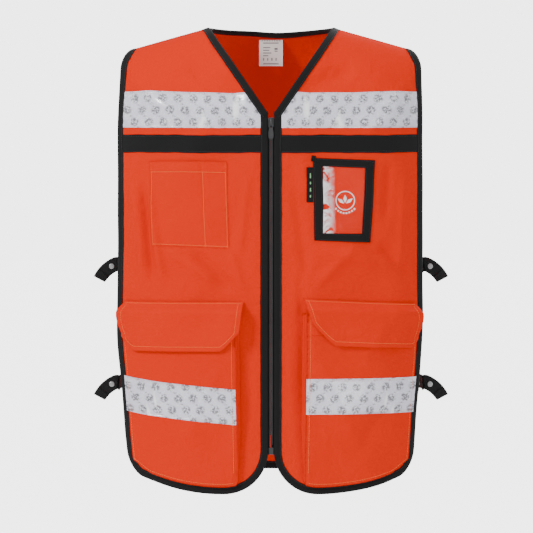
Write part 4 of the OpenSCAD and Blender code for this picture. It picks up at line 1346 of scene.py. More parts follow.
# ---------------------------------------------------------------- cargo pockets
class Cargo:
    """The shape of one cargo pocket and its flap, in the panel's chart."""

    def __init__(self, panel):
        self.panel = panel
        left = panel.name == "left"
        self.seed = panel.seed * 3
        self.tape_low, self.tape_rise = (113.0, 0.0) if left else (98.0, 17.0)
        self.flap_z = (276.0, 268.0) if left else (272.0, 271.0)
        self.flap_x = (45.0, 200.5) if left else (38.5, 201.0)
        self.flap_len = 65.0 if left else 70.5
        self.corner_in = (34.0, 33.0) if left else (27.0, 27.0)
        self.lean_in = 10.0 if left else 5.0
        self.corner_out = (16.0, 30.0) if left else (24.0, 32.0)

    def height(self, x, z):
        """How far the pocket's face stands off the cloth."""
        u = np.clip((x - POCKET_X0) / (POCKET_X1 - POCKET_X0), 0, 1)
        v = np.clip(z / MOUTH_Z, 0, 1)
        inner = 5 + 8 * v + 8 * np.sin(math.pi * v)
        h = 3.5 + (1 - u * u) * (inner - 3.5)
        s = self.seed
        rumple = 1.3 * np.sin(x / 17 + 1.2 * np.sin(z / 33 + s)) * np.sin(z / 29 + s)
        for fold in (
            ((60, 200), (130, 60), 9, 1.8), ((190, 190), (120, 40), 9, -1.5),
            ((90, 95), (180, 70), 7, 1.2), ((160, 245), (120, 175), 8, 1.4),
        ):
            rumple = rumple + crease(x, z, *fold)
        return h + rumple * ease(u * 5) * ease((1 - u) * 4) * ease((z - front_hem(x) - 12) / 26)

    def on_face(self, x, z, off):
        return self.panel.at(x, z, self.height(x, z) + off)

    @staticmethod
    def tucked(x):
        """How far the face drops at its inner edge, where it turns into the gusset."""
        return -2.0 * (1 - ease((x - POCKET_X0) / 4.0))

    def low(self, x):
        """The height of the pocket's lower edge, clear of the hem binding."""
        return front_hem(x) + BINDING_W + 1.2 + 6 * ease((x - 176) / 20)

    def face_grid(self, cols=64, rows=92):
        x = across(POCKET_X0, POCKET_X1, np.linspace(0, 1, cols + 1))[:, None] + np.zeros(rows + 1)
        z = lerp(self.low(x[:, :1]), MOUTH_Z, np.linspace(0, 1, rows + 1)[None])
        return x, z

    def build_pocket(self):
        shape = Shape()
        x, z = self.face_grid()
        rim = 0.5 * np.exp(-((z - self.low(x)) / 9) ** 2) * np.sin(x / 1.5 + 2 * wander(x, self.seed))
        rim = rim + 0.5 * np.exp(-((x - POCKET_X0) / 8) ** 2) * np.sin(z / 1.5 + 2 * wander(z, self.seed))
        soft = self.tucked(x)
        shape.lay(self.on_face, x, z, soft + rim, 0.9 + soft + rim)
        mouth = (slice(None), slice(81, 93))
        turned = (soft + rim)[mouth]
        shape.lay(self.on_face, x[mouth], z[mouth], 0.85 + turned, 1.35 + turned)
        zs = np.linspace(30, MOUTH_Z - 2, 120)
        inside = np.full_like(zs, POCKET_X0 + 4.5)
        zs = np.maximum(zs, self.low(inside) + 2)
        shape.stitches(*self.on_face(inside, zs, 1.0))
        shape.stitches(*self.on_face(np.full_like(zs, POCKET_X1 - 3), np.maximum(zs, 46), 1.0))
        xs = across(POCKET_X0 + 5, POCKET_X1 - 3, np.linspace(0, 1, 90))
        shape.stitches(*self.on_face(xs, self.low(xs) + 3, 1.0))
        shape.stitches(*self.on_face(xs, 0 * xs + MOUTH_Z - 9, 1.4))
        return shape

    def build_gusset(self):
        """The pleated wall between the panel and the pocket's face."""
        shape = Shape()
        panel = self.panel
        side = np.linspace(MOUTH_Z + 2, float(self.low(np.array(POCKET_X0))) + 5, 70)
        hem = across(POCKET_X0 + 2.0, POCKET_X1 - 3, np.linspace(0, 1, 60))
        far = np.linspace(float(self.low(np.array(POCKET_X1))) + 5, MOUTH_Z, 60)
        chart = np.concatenate([
            np.stack([np.full(70, POCKET_X0), side], -1),
            np.stack([hem, self.low(hem)], -1),
            np.stack([np.full(60, POCKET_X1), far], -1),
        ])
        away = np.concatenate([
            np.tile([-1.0, 0.0], (70, 1)), np.tile([0.0, -1.0], (60, 1)), np.tile([0.0, 0.0], (60, 1)),
        ])
        ease_in = np.concatenate([ease(np.linspace(3, 0, 70)), np.zeros(60), np.zeros(60)])
        h = self.height(chart[:, 0], chart[:, 1])
        # how far out each row of the pleat lies, and how high: foot, first fold, then up to the face
        outs = (6.5, 4.2, 1.0, 2.6, 3.4, 0.9, 0.2)
        highs = [0.45] + [0.6 + 0.16 * k * h * 0.6 for k in (1, 2)]
        highs += [0.9 + (h - 1.2) * share for share in (0.5, 0.62, 0.84, 0.97)]
        layers = []
        for thick in (0.0, 0.8):
            rows = []
            for k, (out, off) in enumerate(zip(outs, highs)):
                reach = out * (0.25 + 0.75 * ease_in)
                off = off + thick if k == 0 else off
                p = chart + away * (reach + thick * (k > 0))[:, None]
                rows.append(panel.at(p[:, 0], p[:, 1], off)[0])
            layers.append(np.stack(rows, 1))
        run = run_length(layers[0][:, 0])
        uv = np.stack([run[:, None] + np.zeros(7), np.arange(7)[None] * 3 * MM + np.zeros((190, 1))], -1)
        shape.slab(layers[0], layers[1], uv)
        return shape

    def build_tape(self):
        shape = Shape()
        u, v = grid(66, 15)
        x = across(POCKET_X0 - 0.2, POCKET_X1 + 2.0, u)
        z = self.tape_low + self.tape_rise * u + TAPE_W * v
        soft = self.tucked(x)
        shape.lay(self.on_face, x, z, 1.0 + soft, 1.6 + soft + 0.1 * np.sin(math.pi * v))
        for end in (0.045, 0.955):
            for dv in (0, 0.032):
                k = np.linspace(0.02, 0.98, 60)
                row = end + dv * (1 if end < 0.5 else -1)
                xs = across(POCKET_X0 + 3, POCKET_X1, k)
                zs = self.tape_low + self.tape_rise * k + TAPE_W * row
                shape.stitches(*self.on_face(xs, zs, 1.62), **BAND_STITCH)
        for x0 in (POCKET_X0 + 5.0, POCKET_X1 - 3.0):
            t = np.linspace(0.02, 0.98, 20)
            k = (x0 - POCKET_X0) / (POCKET_X1 - POCKET_X0)
            zs = self.tape_low + self.tape_rise * k + TAPE_W * t
            shape.stitches(*self.on_face(0 * t + x0, zs, 1.68), pitch=3.0, length=2.2, radius=0.26, mat=2)
        return shape

    def build_loops(self):
        shape = Shape()
        for x0, x1 in PATCHES:
            u, v = grid(14, 9)
            x, z = lerp(x0, x1, u), lerp(221, 241, v)
            pile = 0.15 * np.sin(x * 7.1) * np.sin(z * 6.3)
            shape.lay(self.on_face, x, z, 1.4, 2.2 + pile)
        return shape

    # ---- flap
    def flap_reach(self, x):
        """The flap's length below its seam at a chart position, with its cut corners."""
        x0, x1 = self.flap_x
        run_in, cut_in = self.corner_in
        run_out, cut_out = self.corner_out
        inner = np.clip((x0 + self.lean_in + run_in - x) / run_in, 0, 1)
        outer = np.clip((x - (x1 + 6 - run_out)) / run_out, 0, 1)
        return self.flap_len - cut_in * inner**1.25 - cut_out * outer**1.6

    def flap_grid(self, margin=0.0, cols=72, rows=36):
        u = np.linspace(0, 1, cols + 1)[:, None]
        t = np.linspace(0, 1, rows + 1)[None]
        x0, x1 = self.flap_x
        x = across(x0 + margin, x1 - margin, u) + np.zeros((1, rows + 1))
        lean = self.lean_in * (1 - ease(u * 3.5))
        swell = 6.0 * np.sin(math.pi * np.clip(t * 1.1, 0, 1)) * ease((u - 0.75) * 4)
        x = x + lean * t + swell
        reach = self.flap_reach(x[:, :1] + lean) - margin
        return x, 1.0 + (reach - 1.0) * t

    def flap_off(self, x, r):
        """How far the flap stands off the cloth at a distance r below its seam, and the height there."""
        top = lerp(self.flap_z[0], self.flap_z[1], np.clip((x - 45) / 155, 0, 1))
        u = np.clip((x - 45) / 160, 0, 1)
        z = top - r
        base = 1.6 + (self.height(x, np.minimum(z, MOUTH_Z)) + 3.2) * ease(r / 17)
        s = self.seed
        roll = 1.6 * np.exp(-(((r - 16) / 9) ** 2))
        sag = 0.9 * np.sin(x / 19 + s) * np.sin(r / 21 + s) * ease(r / 20)
        return base + roll + sag + 1.2 * ease((r - 40) / 25) * np.sin(math.pi * u), z

    def on_flap(self, x, r, off):
        base, z = self.flap_off(x, r)
        return self.panel.at(x, z, base + off)

    def build_flap(self):
        shape = Shape()
        x, r = self.flap_grid()
        edge = np.minimum(np.minimum(x - x[:1], x[-1:] - x), (r[:, -1:] - r))
        plump = 0.35 * np.exp(-((edge - 3.2) / 2.6) ** 2) - 0.25 * np.exp(-((edge - 6.6) / 1.3) ** 2)
        gather = 0.4 * np.exp(-((edge - 9) / 5) ** 2) * np.sin((x + r) / 1.6 + 2 * wander(x, self.seed))
        thin = -0.5 * np.exp(-(edge / 0.9) ** 2)
        shape.lay(self.on_flap, x, r, 0.1 + gather * 0.5, 1.5 + plump + gather + thin)

        x2, r2 = self.flap_grid(margin=6.4)
        border = [
            (x2[0, 3:-1], r2[0, 3:-1]), (x2[:, -1], r2[:, -1]), (x2[-1, 3:-1][::-1], r2[-1, 3:-1][::-1]),
        ]
        cx = np.concatenate([b[0] for b in border])
        cr = np.concatenate([b[1] for b in border])
        shape.stitches(*self.on_flap(cx, cr, 1.35))
        xs = across(self.flap_x[0] + 3, self.flap_x[1] - 2, np.linspace(0, 1, 80))
        shape.stitches(*self.on_flap(xs, 0 * xs + 3.6, 1.6))
        return shape

    def build_hooks(self):
        shape = Shape()
        for x0, x1 in PATCHES:
            u, v = grid(14, 9)
            x, r = lerp(x0, x1, u), lerp(30, 50, v)
            shape.lay(self.on_flap, x, r, -0.7 + 0.1 * np.sin(x * 5.1) * np.sin(r * 4.7), -0.05)
        return shape


# ---------------------------------------------------------------- side straps
def ribbon(shape, centre, width_dir, half_width, face_dir, thick=1.3):
    """A length of webbing through given centres, with soft selvedges."""
    profile = [
        (-1, 0), (-0.97, 0.42), (-0.86, 0.5), (0.86, 0.5), (0.97, 0.42),
        (1, 0), (0.97, -0.42), (0.86, -0.5), (-0.86, -0.5), (-0.97, -0.42),
    ]
    rings = np.stack([
        centre + half_width * MM * w * width_dir + thick * MM * t * face_dir for w, t in profile
    ], 1)
    run = run_length(centre)
    side = np.array([w * half_width for w, _ in profile]) * MM
    uv = np.stack(np.broadcast_arrays(side[None], run[:, None]), -1)
    shape.loft(rings, uv)


def smooth_line(points, step=2.0, rounds=4):
    line = resample(np.asarray(points, float), step)
    for _ in range(rounds):
        line[1:-1] = (line[:-2] + 2 * line[1:-1] + line[2:]) / 4
    return line


def under_edge(z, half):
    """Points inside the panel's side edge, where webbing is sewn on."""
    xs = np.array([186.0, 192.0, 198.0, 204.0])
    return surface(xs, np.full(4, z), half, -3.4)[0]


def tail_centre(count=26):
    """Where a strap's free end runs: out from the vest, and down."""
    s = np.linspace(0, TAIL_L, count)
    droop = np.radians(lerp(22.0, 62.0, s / TAIL_L))
    step = TAIL_L / (count - 1)
    x = TAIL_X + np.concatenate([[0], np.cumsum(np.cos(droop[:-1]) * step)])
    drop = np.concatenate([[0], np.cumsum(np.sin(droop[:-1]) * step)])
    return x, drop


def build_strap(side, level):
    """Webbing from inside the back edge, forward through the snap, then folded out and down."""
    z = STRAPS[level]
    back = under_edge(z, BACK)
    body = smooth_line([(*p[:2], z) for p in back] + [
        (STRAP_X - 2, 38, z), (STRAP_X, 26, z), (STRAP_X, 4, z), (STRAP_X + 0.2, SNAP_Y, z),
    ])
    x, drop = tail_centre()
    # the fold: a small loop forward of the snap that turns the strap outwards
    fold = smooth_line([
        (STRAP_X + 0.2, SNAP_Y, z), (STRAP_X + 0.3, SNAP_Y - 4, z + 0.5),
        (STRAP_X + 0.7, SNAP_Y - 8.4, z + 1.6),
        (STRAP_X + 1.9, TAIL_Y, z + 2.6), (TAIL_X, TAIL_Y, z + 3), (TAIL_X + 2.8, TAIL_Y, z + 1.9),
    ], 0.7, 3)
    tail = np.stack([x, np.full_like(x, TAIL_Y), z + 3 - drop], -1)[3:]
    centre = np.concatenate([body[:-1], fold[:-1], tail])
    count = len(centre)
    tangent = unit(np.gradient(centre, axis=0))
    turn = np.zeros(count)
    turn[-len(tail):] = np.linspace(0.1, 1, len(tail))
    tilt = np.radians(28.0) * turn
    upright = np.array([0.0, 0.0, 1.0])
    width = unit(upright - (tangent @ upright)[:, None] * tangent)
    face = unit(np.cross(tangent, width))
    width_t = np.cos(tilt)[:, None] * width + np.sin(tilt)[:, None] * face
    face_t = np.cos(tilt)[:, None] * face - np.sin(tilt)[:, None] * width
    flip = np.array([side, 1, 1])
    shape = Shape()
    ribbon(shape, centre * flip * MM, width_t * flip, 10.0, face_t * flip)
    # turned and stitched end of the tail
    end = slice(count - 9, count - 1)
    ribbon(shape, (centre + face_t * 1.25)[end] * flip * MM, (width_t * flip)[end], 9.8,
           (face_t * flip)[end], 1.1)
    for k in (count - 8, count - 3):
        line = centre[k] + np.linspace(-8.5, 8.5, 9)[:, None] * width_t[k] - face_t[k] * 0.75
        shape.stitches(line * flip * MM, np.tile(-face_t[k] * flip, (9, 1)), pitch=2.6, length=2.0, radius=0.25)
    sewn = slice(2, 10)
    for w in (-8, 8):
        line = centre[sewn] + w * width_t[sewn] + face_t[sewn] * 0.7
        shape.stitches(line * flip * MM, face_t[sewn] * flip, **WEB_STITCH)
    return shape


def build_tab(side, level):
    z = STRAPS[level]
    front = under_edge(z, FRONT)
    centre = smooth_line([(*p[:2], z) for p in front] + [
        (TAB_X, -38, z), (TAB_X, -30, z), (TAB_X, SNAP_Y, z), (TAB_X, SNAP_Y + 8, z),
    ])
    tangent = unit(np.gradient(centre, axis=0))
    width = np.tile([0.0, 0.0, 1.0], (len(centre), 1))
    face = unit(np.cross(tangent, width))
    flip = np.array([side, 1, 1])
    shape = Shape()
    ribbon(shape, centre * flip * MM, width, 10.0, face * flip)
    sewn = slice(2, 10)
    for w in (-8, 8):
        line = centre[sewn] + w * width[sewn] - face[sewn] * 0.7
        shape.stitches(line * flip * MM, -face[sewn] * flip, **WEB_STITCH)
    return shape


# Profiles of the press studs: radius and height
CAP = [
    (0.15, 1.35), (1.6, 1.3), (2.4, 1.15), (2.9, 1.25), (3.9, 1.05), (4.45, 0.6), (4.5, 0.15), (4.3, 0.0),
    (0.15, 0.0),
]
SMALL_CAP = [
    (0.15, 1.3), (1.3, 1.25), (1.9, 1.1), (2.5, 1.2), (3.4, 1.0), (3.95, 0.5), (3.95, 0.1), (0.15, 0.0),
]
SOCKET = [(0.2, 2.0), (1.9, 2.0), (2.5, 1.7), (2.6, 1.2), (2.2, 0.8), (2.3, 0.0), (0.2, 0.0)]


def facing(point, direction):
    turn = Vector((0, 0, 1)).rotation_difference(Vector(direction)).to_matrix().to_4x4()
    return Matrix.Translation(Vector(point) * MM) @ turn


def build_strap_snaps(side):
    shape = Shape()
    for z in STRAPS.values():
        shape.lathe(CAP, facing((side * (STRAP_X + 0.8), SNAP_Y, z), (side, 0, 0)))
    return shape


def build_tab_snaps(side):
    shape = Shape()
    for z in STRAPS.values():
        shape.lathe(CAP, facing((side * (TAB_X - 0.7), SNAP_Y, z), (-side, 0, 0)))
        shape.lathe(SOCKET, facing((side * (TAB_X + 0.6), SNAP_Y, z), (side, 0, 0)))
    return shape


def build_tail_snap(side, level):
    x, drop = tail_centre()
    k = 6
    shape = Shape()
    centre = (side * x[k], TAIL_Y - 0.75, STRAPS[level] + 3 - drop[k])
    shape.lathe(SMALL_CAP, facing(centre, (0, -1, 0)))
    return shape


# ---------------------------------------------------------------- neck label
def build_neck_label():
    shape = Shape()
    top = NAPE_Z - BINDING_W + 0.5
    y0 = float(surface(0.0, top, BACK, 0.0)[0][1]) - 3.3
    u, v = np.linspace(-1, 1, 24)[:, None] + np.zeros(30), grid(24, 30)[1]
    x, z = 17 * u, top - 37.5 * v
    bow = 0.5 * u**2 * v + 1.6 * v**2 + 0.3 * np.sin(5 * v + u)
    near = np.stack([x, y0 - bow, z], -1) * MM
    far = np.stack([x, y0 - bow + 0.5, z], -1) * MM
    shape.slab(near, far, np.stack([x, -z], -1) * MM)
    up = np.tile([0.0, -1.0, 0.0], (20, 1))
    shape.stitches(near[2:22, 1], up)
    # printed lines and care boxes, as thin raised ink
    rows = [(3, 4, 4, 20), (8, 9, 4, 12), (11, 12, 4, 11), (14, 15, 4, 13), (17, 18, 4, 10), (26, 27, 4, 20)]
    rows += [(20, 23, a, a + 2) for a in (4, 8, 12, 16)] + [(9, 11, 15, 19), (12, 13, 15, 19)]
    for first, last, a, b in rows:
        pick = (slice(a, b), slice(first, last + 1))
        raised = near[pick] - np.array([0, 0.12, 0]) * MM
        shape.slab(near[pick], raised, np.stack([x, -z], -1)[pick] * MM, mat=2)
    return shape


# ---------------------------------------------------------------- settings
class VestColours(bpy.types.PropertyGroup):
    shell: bpy.props.FloatVectorProperty(
        name="Shell", description="Colour of the vest's cloth", subtype="COLOR", size=3, min=0, max=1,
        default=(0.62, 0.017, 0.001))
    trim: bpy.props.FloatVectorProperty(
        name="Trim", description="Colour of binding, ribbon and webbing", subtype="COLOR", size=3, min=0, max=1,
        default=(0.0045, 0.0045, 0.005))
    tape: bpy.props.FloatVectorProperty(
        name="Tape", description="Colour of the reflective tape", subtype="COLOR", size=3, min=0, max=1,
        default=(0.88, 0.87, 1.0))
    thread: bpy.props.FloatVectorProperty(
        name="Thread", description="Colour of the visible stitching", subtype="COLOR", size=3, min=0, max=1,
        default=(1.0, 0.16, 0.014))


class VestStage(bpy.types.PropertyGroup):
    distance: bpy.props.FloatProperty(
        name="Camera distance", description="From the camera to the middle of the vest", default=8.0,
        min=1, max=12, unit="LENGTH")
    height: bpy.props.FloatProperty(
        name="Camera height", description="Height that the camera looks at", default=0.320, min=0, max=1,
        unit="LENGTH")
    floor: bpy.props.FloatProperty(
        name="Floor", description="Height of the floor below the vest", default=-0.42,
        min=-2, max=0, unit="LENGTH")


# ---------------------------------------------------------------- operators
class VestStep(bpy.types.Operator):
    bl_options = {"REGISTER", "UNDO"}


class VEST_OT_back_panel(VestStep):
    """Back panel of woven cloth and the shoulder seams that join it to the fronts"""

    bl_idname = "vest.back_panel"
    bl_label = "Back panel"

    def execute(self, context):
        panel = PANELS["back"]
        piece = build_back_panel(panel).build("back_panel_cloth", [shell_cloth()])
        settle(piece, "back", ["back_panel"])
        for name, side in SIDES:
            seam = build_shoulder_seam(side).build(f"shoulder_seam_{name}", [shell_cloth(), pale_thread()])
            settle(seam, "back")
        return {"FINISHED"}


class VEST_OT_front_panels(VestStep):
    """Two front panels of woven cloth"""

    bl_idname = "vest.front_panels"
    bl_label = "Front panels"

    def execute(self, context):
        for name in ("left", "right"):
            panel = PANELS[name]
            piece = build_front_panel(panel).build(f"front_panel_{name}_cloth", [shell_cloth()])
            settle_over_shoulder(piece, [f"front_panel_{name}"])
        return {"FINISHED"}


class VEST_OT_bindings(VestStep):
    """Black binding round every edge, with its stitching"""

    bl_idname = "vest.bindings"
    bl_label = "Bindings"

    def execute(self, context):
        mats = [black_trim(), black_thread()]
        back = PANELS["back"]
        piece = build_binding(back, back_edge_chart(), seed=1).build("back_edge_ribbon", mats)
        settle(piece, "back", ["back_edge_binding"])
        piece = build_binding(back, nape_chart(), lift=0.05, seed=2).build("nape_ribbon", mats)
        settle(piece, "back", ["back_neck_binding"])
        for k, name in enumerate(("left", "right")):
            panel = PANELS[name]
            edge = build_binding(panel, front_edge_chart(), seed=3 + k).build(f"edge_ribbon_{name}", mats)
            settle_over_shoulder(edge, [f"edge_binding_{name}"])
            neck = build_binding(panel, neck_chart(), lift=0.55, seed=5 + k).build(f"neck_ribbon_{name}", mats)
            settle_over_shoulder(neck)
        return {"FINISHED"}


class VEST_OT_reflective_bands(VestStep):
    """Reflective tape across the chest and the back"""

    bl_idname = "vest.reflective_bands"
    bl_label = "Reflective bands"

    def execute(self, context):
        mats = [reflective_tape(), pink_thread()]
        for name in ("left", "right"):
            panel = PANELS[name]
            piece = build_chest_tape(panel).build(f"chest_band_{name}", mats)
            settle_over_shoulder(piece, [f"chest_tape_{name}"])
        piece = build_back_band(PANELS["back"], *CHEST_TAPE).build("back_chest_band", mats)
        settle(piece, "back", ["back_chest_tape"])
        piece = build_back_band(PANELS["back"], *WAIST_TAPE).build("back_waist_band", mats)
        settle(piece, "back", ["back_waist_tape"])
        return {"FINISHED"}


class VEST_OT_ribbons(VestStep):
    """Black ribbon below the chest tape"""

    bl_idname = "vest.ribbons"
    bl_label = "Chest ribbons"

    def execute(self, context):
        mats = [black_trim(), black_thread()]
        for name in ("left", "right"):
            panel = PANELS[name]
            piece = build_chest_ribbon(panel).build(f"chest_ribbon_{name}_cloth", mats)
            settle_over_shoulder(piece, [f"chest_ribbon_{name}"])
        ribbon_shape = build_back_band(PANELS["back"], *CHEST_RIBBON, wave=RIBBON_WAVE, roll=0.0)
        piece = ribbon_shape.build("back_ribbon_cloth", mats)
        settle(piece, "back", ["back_chest_ribbon"])
        return {"FINISHED"}


class VEST_OT_zip(VestStep):
    """Zip tapes, teeth, box and pin"""

    bl_idname = "vest.zip"
    bl_label = "Zip"

    def execute(self, context):
        for name, mirror, shift in (("left", 1, 0.0), ("right", -1, 1.5)):
            tape = build_zip_tape(mirror).build(f"zip_ribbon_{name}", [zip_cloth(), black_thread()])
            settle(tape, f"front_{name}", [f"zip_tape_{name}"])
            teeth = build_zip_teeth(mirror, shift).build(f"zip_chain_{name}", [zip_plastic()])
            settle(teeth, f"front_{name}", [f"zip_teeth_{name}"])
        box = build_zip_box().build("zip_box_moulding", [zip_plastic()])
        settle(box, "front_left", ["zip_box"])
        pin = build_zip_pin().build("zip_pin_moulding", [zip_plastic()])
        settle(pin, "front_right", ["zip_pin"])
        return {"FINISHED"}


class VEST_OT_cloth_sizes(VestStep):
    """Does nothing: no flat cut of the shell panels or of the pieces sewn to them is made"""

    bl_idname = "vest.cloth_sizes"
    bl_label = "Cloth sizes"

    def execute(self, context):
        return {"FINISHED"}


class VEST_OT_slider(VestStep):
    """Zip slider with its crown, and the pull that hangs on it"""

    bl_idname = "vest.slider"
    bl_label = "Zip slider"

    def execute(self, context):
        slider = build_slider().build("slider_moulding", [zip_plastic()])
        settle(slider, "zip_slider", ["zip_slider"])
        settle(build_pull().build("pull_moulding", [zip_plastic()]), "zip_pull", ["zip_pull"])
        return {"FINISHED"}


class VEST_OT_chest_pocket(VestStep):
    """Patch pocket with a pen division"""

    bl_idname = "vest.chest_pocket"
    bl_label = "Chest pocket"

    def execute(self, context):
        piece = build_chest_pocket(PANELS["right"]).build("chest_pocket_cloth", [shell_cloth(), pale_thread()])
        settle(piece, "front_right", ["chest_pocket"])
        return {"FINISHED"}


class VEST_OT_identity_window(VestStep):
    """Clear identity window with its ribbon frame and the small tag beside it"""

    bl_idname = "vest.identity_window"
    bl_label = "Identity window"

    def execute(self, context):
        panel = PANELS["left"]
        frame_piece = build_id_frame(panel).build("id_frame_ribbon", [black_trim(), black_thread()])
        settle(frame_piece, "front_left", ["id_frame"])
        window = build_id_window(panel).build("id_window_sheet", [clear_vinyl()])
        settle(window, "front_left", ["id_window"])
        mark = fabric("tag_mark", (0.10, 0.30, 0.10), (0.25, 0.55, 0.22), (0.2, 0.4, 0.2), weave_group(), 0.05,
                      Threads_per_metre=2500.0)
        tag = build_side_tag(panel).build("side_tag_cloth", [black_trim(), black_thread(), mark])
        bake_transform(tag)
        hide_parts("side_tag")
        return {"FINISHED"}


class VEST_OT_window_print(VestStep):
    """Plain white print seen through the identity window: a ring, three leaves and a row of dashes"""

    bl_idname = "vest.window_print"
    bl_label = "Window print"

    def execute(self, context):
        piece = build_window_print(PANELS["left"]).build("window_print_ink", [label_cloth()])
        settle(piece, "front_left")
        return {"FINISHED"}


class VEST_OT_cargo_pockets(VestStep):
    """Two bellows pockets with reflective tape across them"""

    bl_idname = "vest.cargo_pockets"
    bl_label = "Cargo pockets"

    def execute(self, context):
        for name in ("left", "right"):
            cargo = Cargo(PANELS[name])
            body = f"front_{name}"
            cloth = [shell_cloth(), pale_thread()]
            film = [reflective_tape(), pink_thread(), pale_thread()]
            pocket = cargo.build_pocket().build(f"cargo_pocket_{name}_cloth", cloth)
            settle(pocket, body, [f"cargo_pocket_{name}"])
            gusset = cargo.build_gusset().build(f"cargo_gusset_{name}_cloth", cloth)
            settle(gusset, body, [f"cargo_gusset_{name}"])
            tape = cargo.build_tape().build(f"pocket_band_{name}", film)
            settle(tape, body, [f"pocket_tape_{name}"])
            loops = cargo.build_loops().build(f"loop_patch_{name}", [hook_and_loop()])
            settle(loops, body, [f"pocket_loop_{name}"])
        return {"FINISHED"}


class VEST_OT_cargo_flaps(VestStep):
    """The flaps over the cargo pockets and the hook patches under them"""

    bl_idname = "vest.cargo_flaps"
    bl_label = "Cargo flaps"

    def execute(self, context):
        for name, side in SIDES:
            cargo = Cargo(PANELS[name])
            flap = cargo.build_flap().build(f"cargo_flap_{name}_cloth", [shell_cloth(), pale_thread()])
            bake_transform(flap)
            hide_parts(f"cargo_flap_{name}")
            hooks = cargo.build_hooks().build(f"hook_patch_{name}", [hook_and_loop()])
            settle(hooks, f"flap_{name}", [f"flap_hook_{name}"])
        return {"FINISHED"}


class VEST_OT_side_straps(VestStep):
    """Side straps with their folded ends, the tabs they snap onto, and the snaps"""

    bl_idname = "vest.side_straps"
    bl_label = "Side straps"

    def execute(self, context):
        mats = [webbing(), black_thread()]
        for name, side in SIDES:
            for level, z in STRAPS.items():
                tag = f"{level}_{name}"
                strap = build_strap(side, level).build(f"strap_{tag}_webbing", mats)
                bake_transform(strap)
                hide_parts(f"side_strap_{tag}", f"strap_tail_{tag}")
                tab = build_tab(side, level).build(f"tab_{tag}_webbing", mats)
                settle(tab, f"front_{name}", [f"front_tab_{tag}"])
                snap = build_tail_snap(side, level).build(f"tail_cap_{tag}", [snap_metal()])
                settle(snap, f"tail_{tag}", [f"tail_snap_{tag}"])
            caps = build_strap_snaps(side).build(f"strap_caps_{name}", [snap_metal()])
            settle(caps, "back", [f"strap_snaps_{name}"])
            studs = build_tab_snaps(side).build(f"tab_studs_{name}", [snap_metal()])
            settle(studs, f"front_{name}", [f"tab_snaps_{name}"])
        return {"FINISHED"}


class VEST_OT_neck_label(VestStep):
    """Label with plain printed lines and boxes, inside the back neck"""

    bl_idname = "vest.neck_label"
    bl_label = "Neck label"

    def execute(self, context):
        ink = hard("label_ink", (0.10, 0.10, 0.11), (0.2, 0.2, 0.21), 0.6)
        piece = build_neck_label().build("neck_label_cloth", [label_cloth(), black_thread(), ink])
        settle(piece, "neck_label", ["neck_label"])
        return {"FINISHED"}


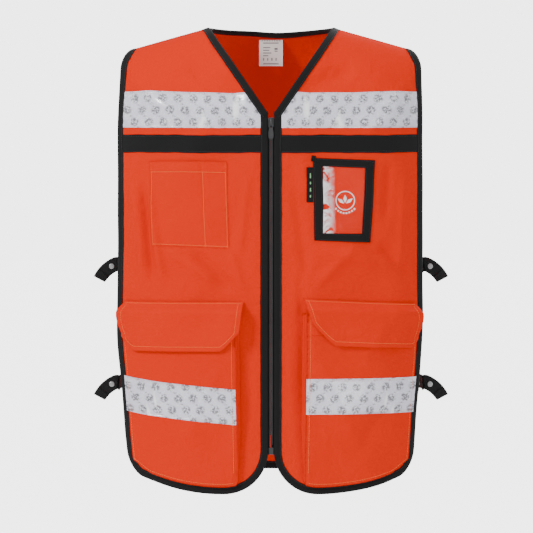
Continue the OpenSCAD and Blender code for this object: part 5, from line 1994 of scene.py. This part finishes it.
class VEST_OT_studio(VestStep):
    """Pale floor, soft lights and the camera"""

    bl_idname = "vest.studio"
    bl_label = "Studio"

    def execute(self, context):
        stage = context.scene.vest_stage
        self.floor(stage)
        world = bpy.data.worlds.new("studio_air")
        world.use_nodes = True
        air = world.node_tree.nodes["Background"]
        air.inputs["Color"].default_value = (1.0, 1.0, 1.0, 1.0)
        air.inputs["Strength"].default_value = AIR_LIGHT
        seen = world.node_tree.nodes.new("ShaderNodeBackground")
        seen.inputs["Color"].default_value = (1.0, 1.0, 1.0, 1.0)
        seen.inputs["Strength"].default_value = AIR_SEEN
        choose = node(world.node_tree, "ShaderNodeMixShader", {
            0: world.node_tree.nodes.new("ShaderNodeLightPath").outputs["Is Camera Ray"],
            1: air.outputs[0], 2: seen.outputs[0],
        })
        world.node_tree.links.new(choose.outputs[0], world.node_tree.nodes["World Output"].inputs["Surface"])
        context.scene.world = world
        target = Vector((0, 0, stage.height))
        for name, place, size, power in (
            ("key", (-2.2, -2.0, 1.8), 0.7, 80.0),
            ("fill", (2.2, -2.6, 0.5), 1.2, 22.0),
            ("top", (0.3, -0.3, 2.6), 1.0, 22.0),
            ("back", (1.8, 2.4, 1.4), 1.0, 80.0),
        ):
            data = bpy.data.lights.new(f"{name}_light", "AREA")
            data.energy, data.size = power, size
            lamp = bpy.data.objects.new(f"{name}_light", data)
            context.scene.collection.objects.link(lamp)
            lamp.location = place
            lamp.rotation_euler = (target - lamp.location).to_track_quat("-Z", "Y").to_euler()
        self.camera(context, stage)
        return {"FINISHED"}

    @staticmethod
    def floor(stage):
        rings, sides = [0.0, 0.6, 1.2, 2.5, 5.0, 10.0, 20.0, 60.0], 48
        angle = np.linspace(0, 2 * math.pi, sides + 1)[:-1]
        verts = [(r * math.cos(a), r * math.sin(a), stage.floor) for r in rings for a in angle]
        faces = [
            (i * sides + j, i * sides + (j + 1) % sides, (i + 1) * sides + (j + 1) % sides, (i + 1) * sides + j)
            for i in range(len(rings) - 1) for j in range(sides)
        ]
        mesh = bpy.data.meshes.new("floor")
        mesh.from_pydata(verts, [], faces)
        material, tree, shader, _ = new_material("floor_paper")
        place = tree.nodes.new("ShaderNodeTexCoord").outputs["Object"]
        wear = use(tree, wear_group(), place, Patch_size=1.5)
        paper = mix(tree, wear["Tone"], (0.93, 0.93, 0.93), (0.97, 0.97, 0.97))
        tree.links.new(paper, shader.inputs["Base Color"])
        shader.inputs["Roughness"].default_value = 0.9
        shader.inputs["Specular IOR Level"].default_value = 0.0
        seen = tree.nodes.new("ShaderNodeLightPath").outputs["Is Camera Ray"]
        tree.links.new(mix(tree, seen, (0.0, 0.0, 0.0), (1.0, 1.0, 1.0)), shader.inputs["Emission Color"])
        shader.inputs["Emission Strength"].default_value = FLOOR_SEEN
        mesh.materials.append(material)
        obj = bpy.data.objects.new("floor", mesh)
        bpy.context.scene.collection.objects.link(obj)

    @staticmethod
    def camera(context, stage):
        data = bpy.data.cameras.new("camera")
        reach = stage.distance - FRONT_PLANE
        data.lens = SENSOR * reach / SEEN_WIDTH
        data.clip_end = 30
        obj = bpy.data.objects.new("camera", data)
        context.scene.collection.objects.link(obj)
        rise = math.radians(RISE)
        aim = Vector((AIM_X, -FRONT_PLANE, stage.height))
        obj.location = aim + reach * Vector((0, -math.cos(rise), math.sin(rise)))
        obj.rotation_euler = (math.radians(90) - rise, 0, 0)
        context.scene.camera = obj


class VEST_PT_panel(bpy.types.Panel):
    bl_label = "Vest"
    bl_space_type = "VIEW_3D"
    bl_region_type = "UI"
    bl_category = "Vest"

    def draw(self, context):
        layout = self.layout
        for group in (context.scene.vest_colours, context.scene.vest_stage):
            for key in group.__annotations__:
                layout.prop(group, key)
        for step in STEPS:
            layout.operator(step.bl_idname)


STEPS = (
    VEST_OT_back_panel, VEST_OT_front_panels, VEST_OT_bindings, VEST_OT_reflective_bands, VEST_OT_ribbons,
    VEST_OT_zip, VEST_OT_slider, VEST_OT_chest_pocket, VEST_OT_identity_window, VEST_OT_window_print,
    VEST_OT_cargo_pockets, VEST_OT_cargo_flaps, VEST_OT_side_straps, VEST_OT_neck_label, VEST_OT_cloth_sizes,
    VEST_OT_studio,
)
GROUPS = (VestColours, VestStage)


def register():
    for cls in (*GROUPS, *STEPS, VEST_PT_panel):
        bpy.utils.register_class(cls)
    bpy.types.Scene.vest_colours = bpy.props.PointerProperty(type=VestColours)
    bpy.types.Scene.vest_stage = bpy.props.PointerProperty(type=VestStage)


def unregister():
    del bpy.types.Scene.vest_stage
    del bpy.types.Scene.vest_colours
    for cls in (VEST_PT_panel, *reversed(STEPS), *reversed(GROUPS)):
        bpy.utils.unregister_class(cls)


def main():
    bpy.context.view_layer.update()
    register()
    for step in STEPS:
        group, name = step.bl_idname.split(".")
        getattr(getattr(bpy.ops, group), name)()


if __name__ == "__main__":
    main()
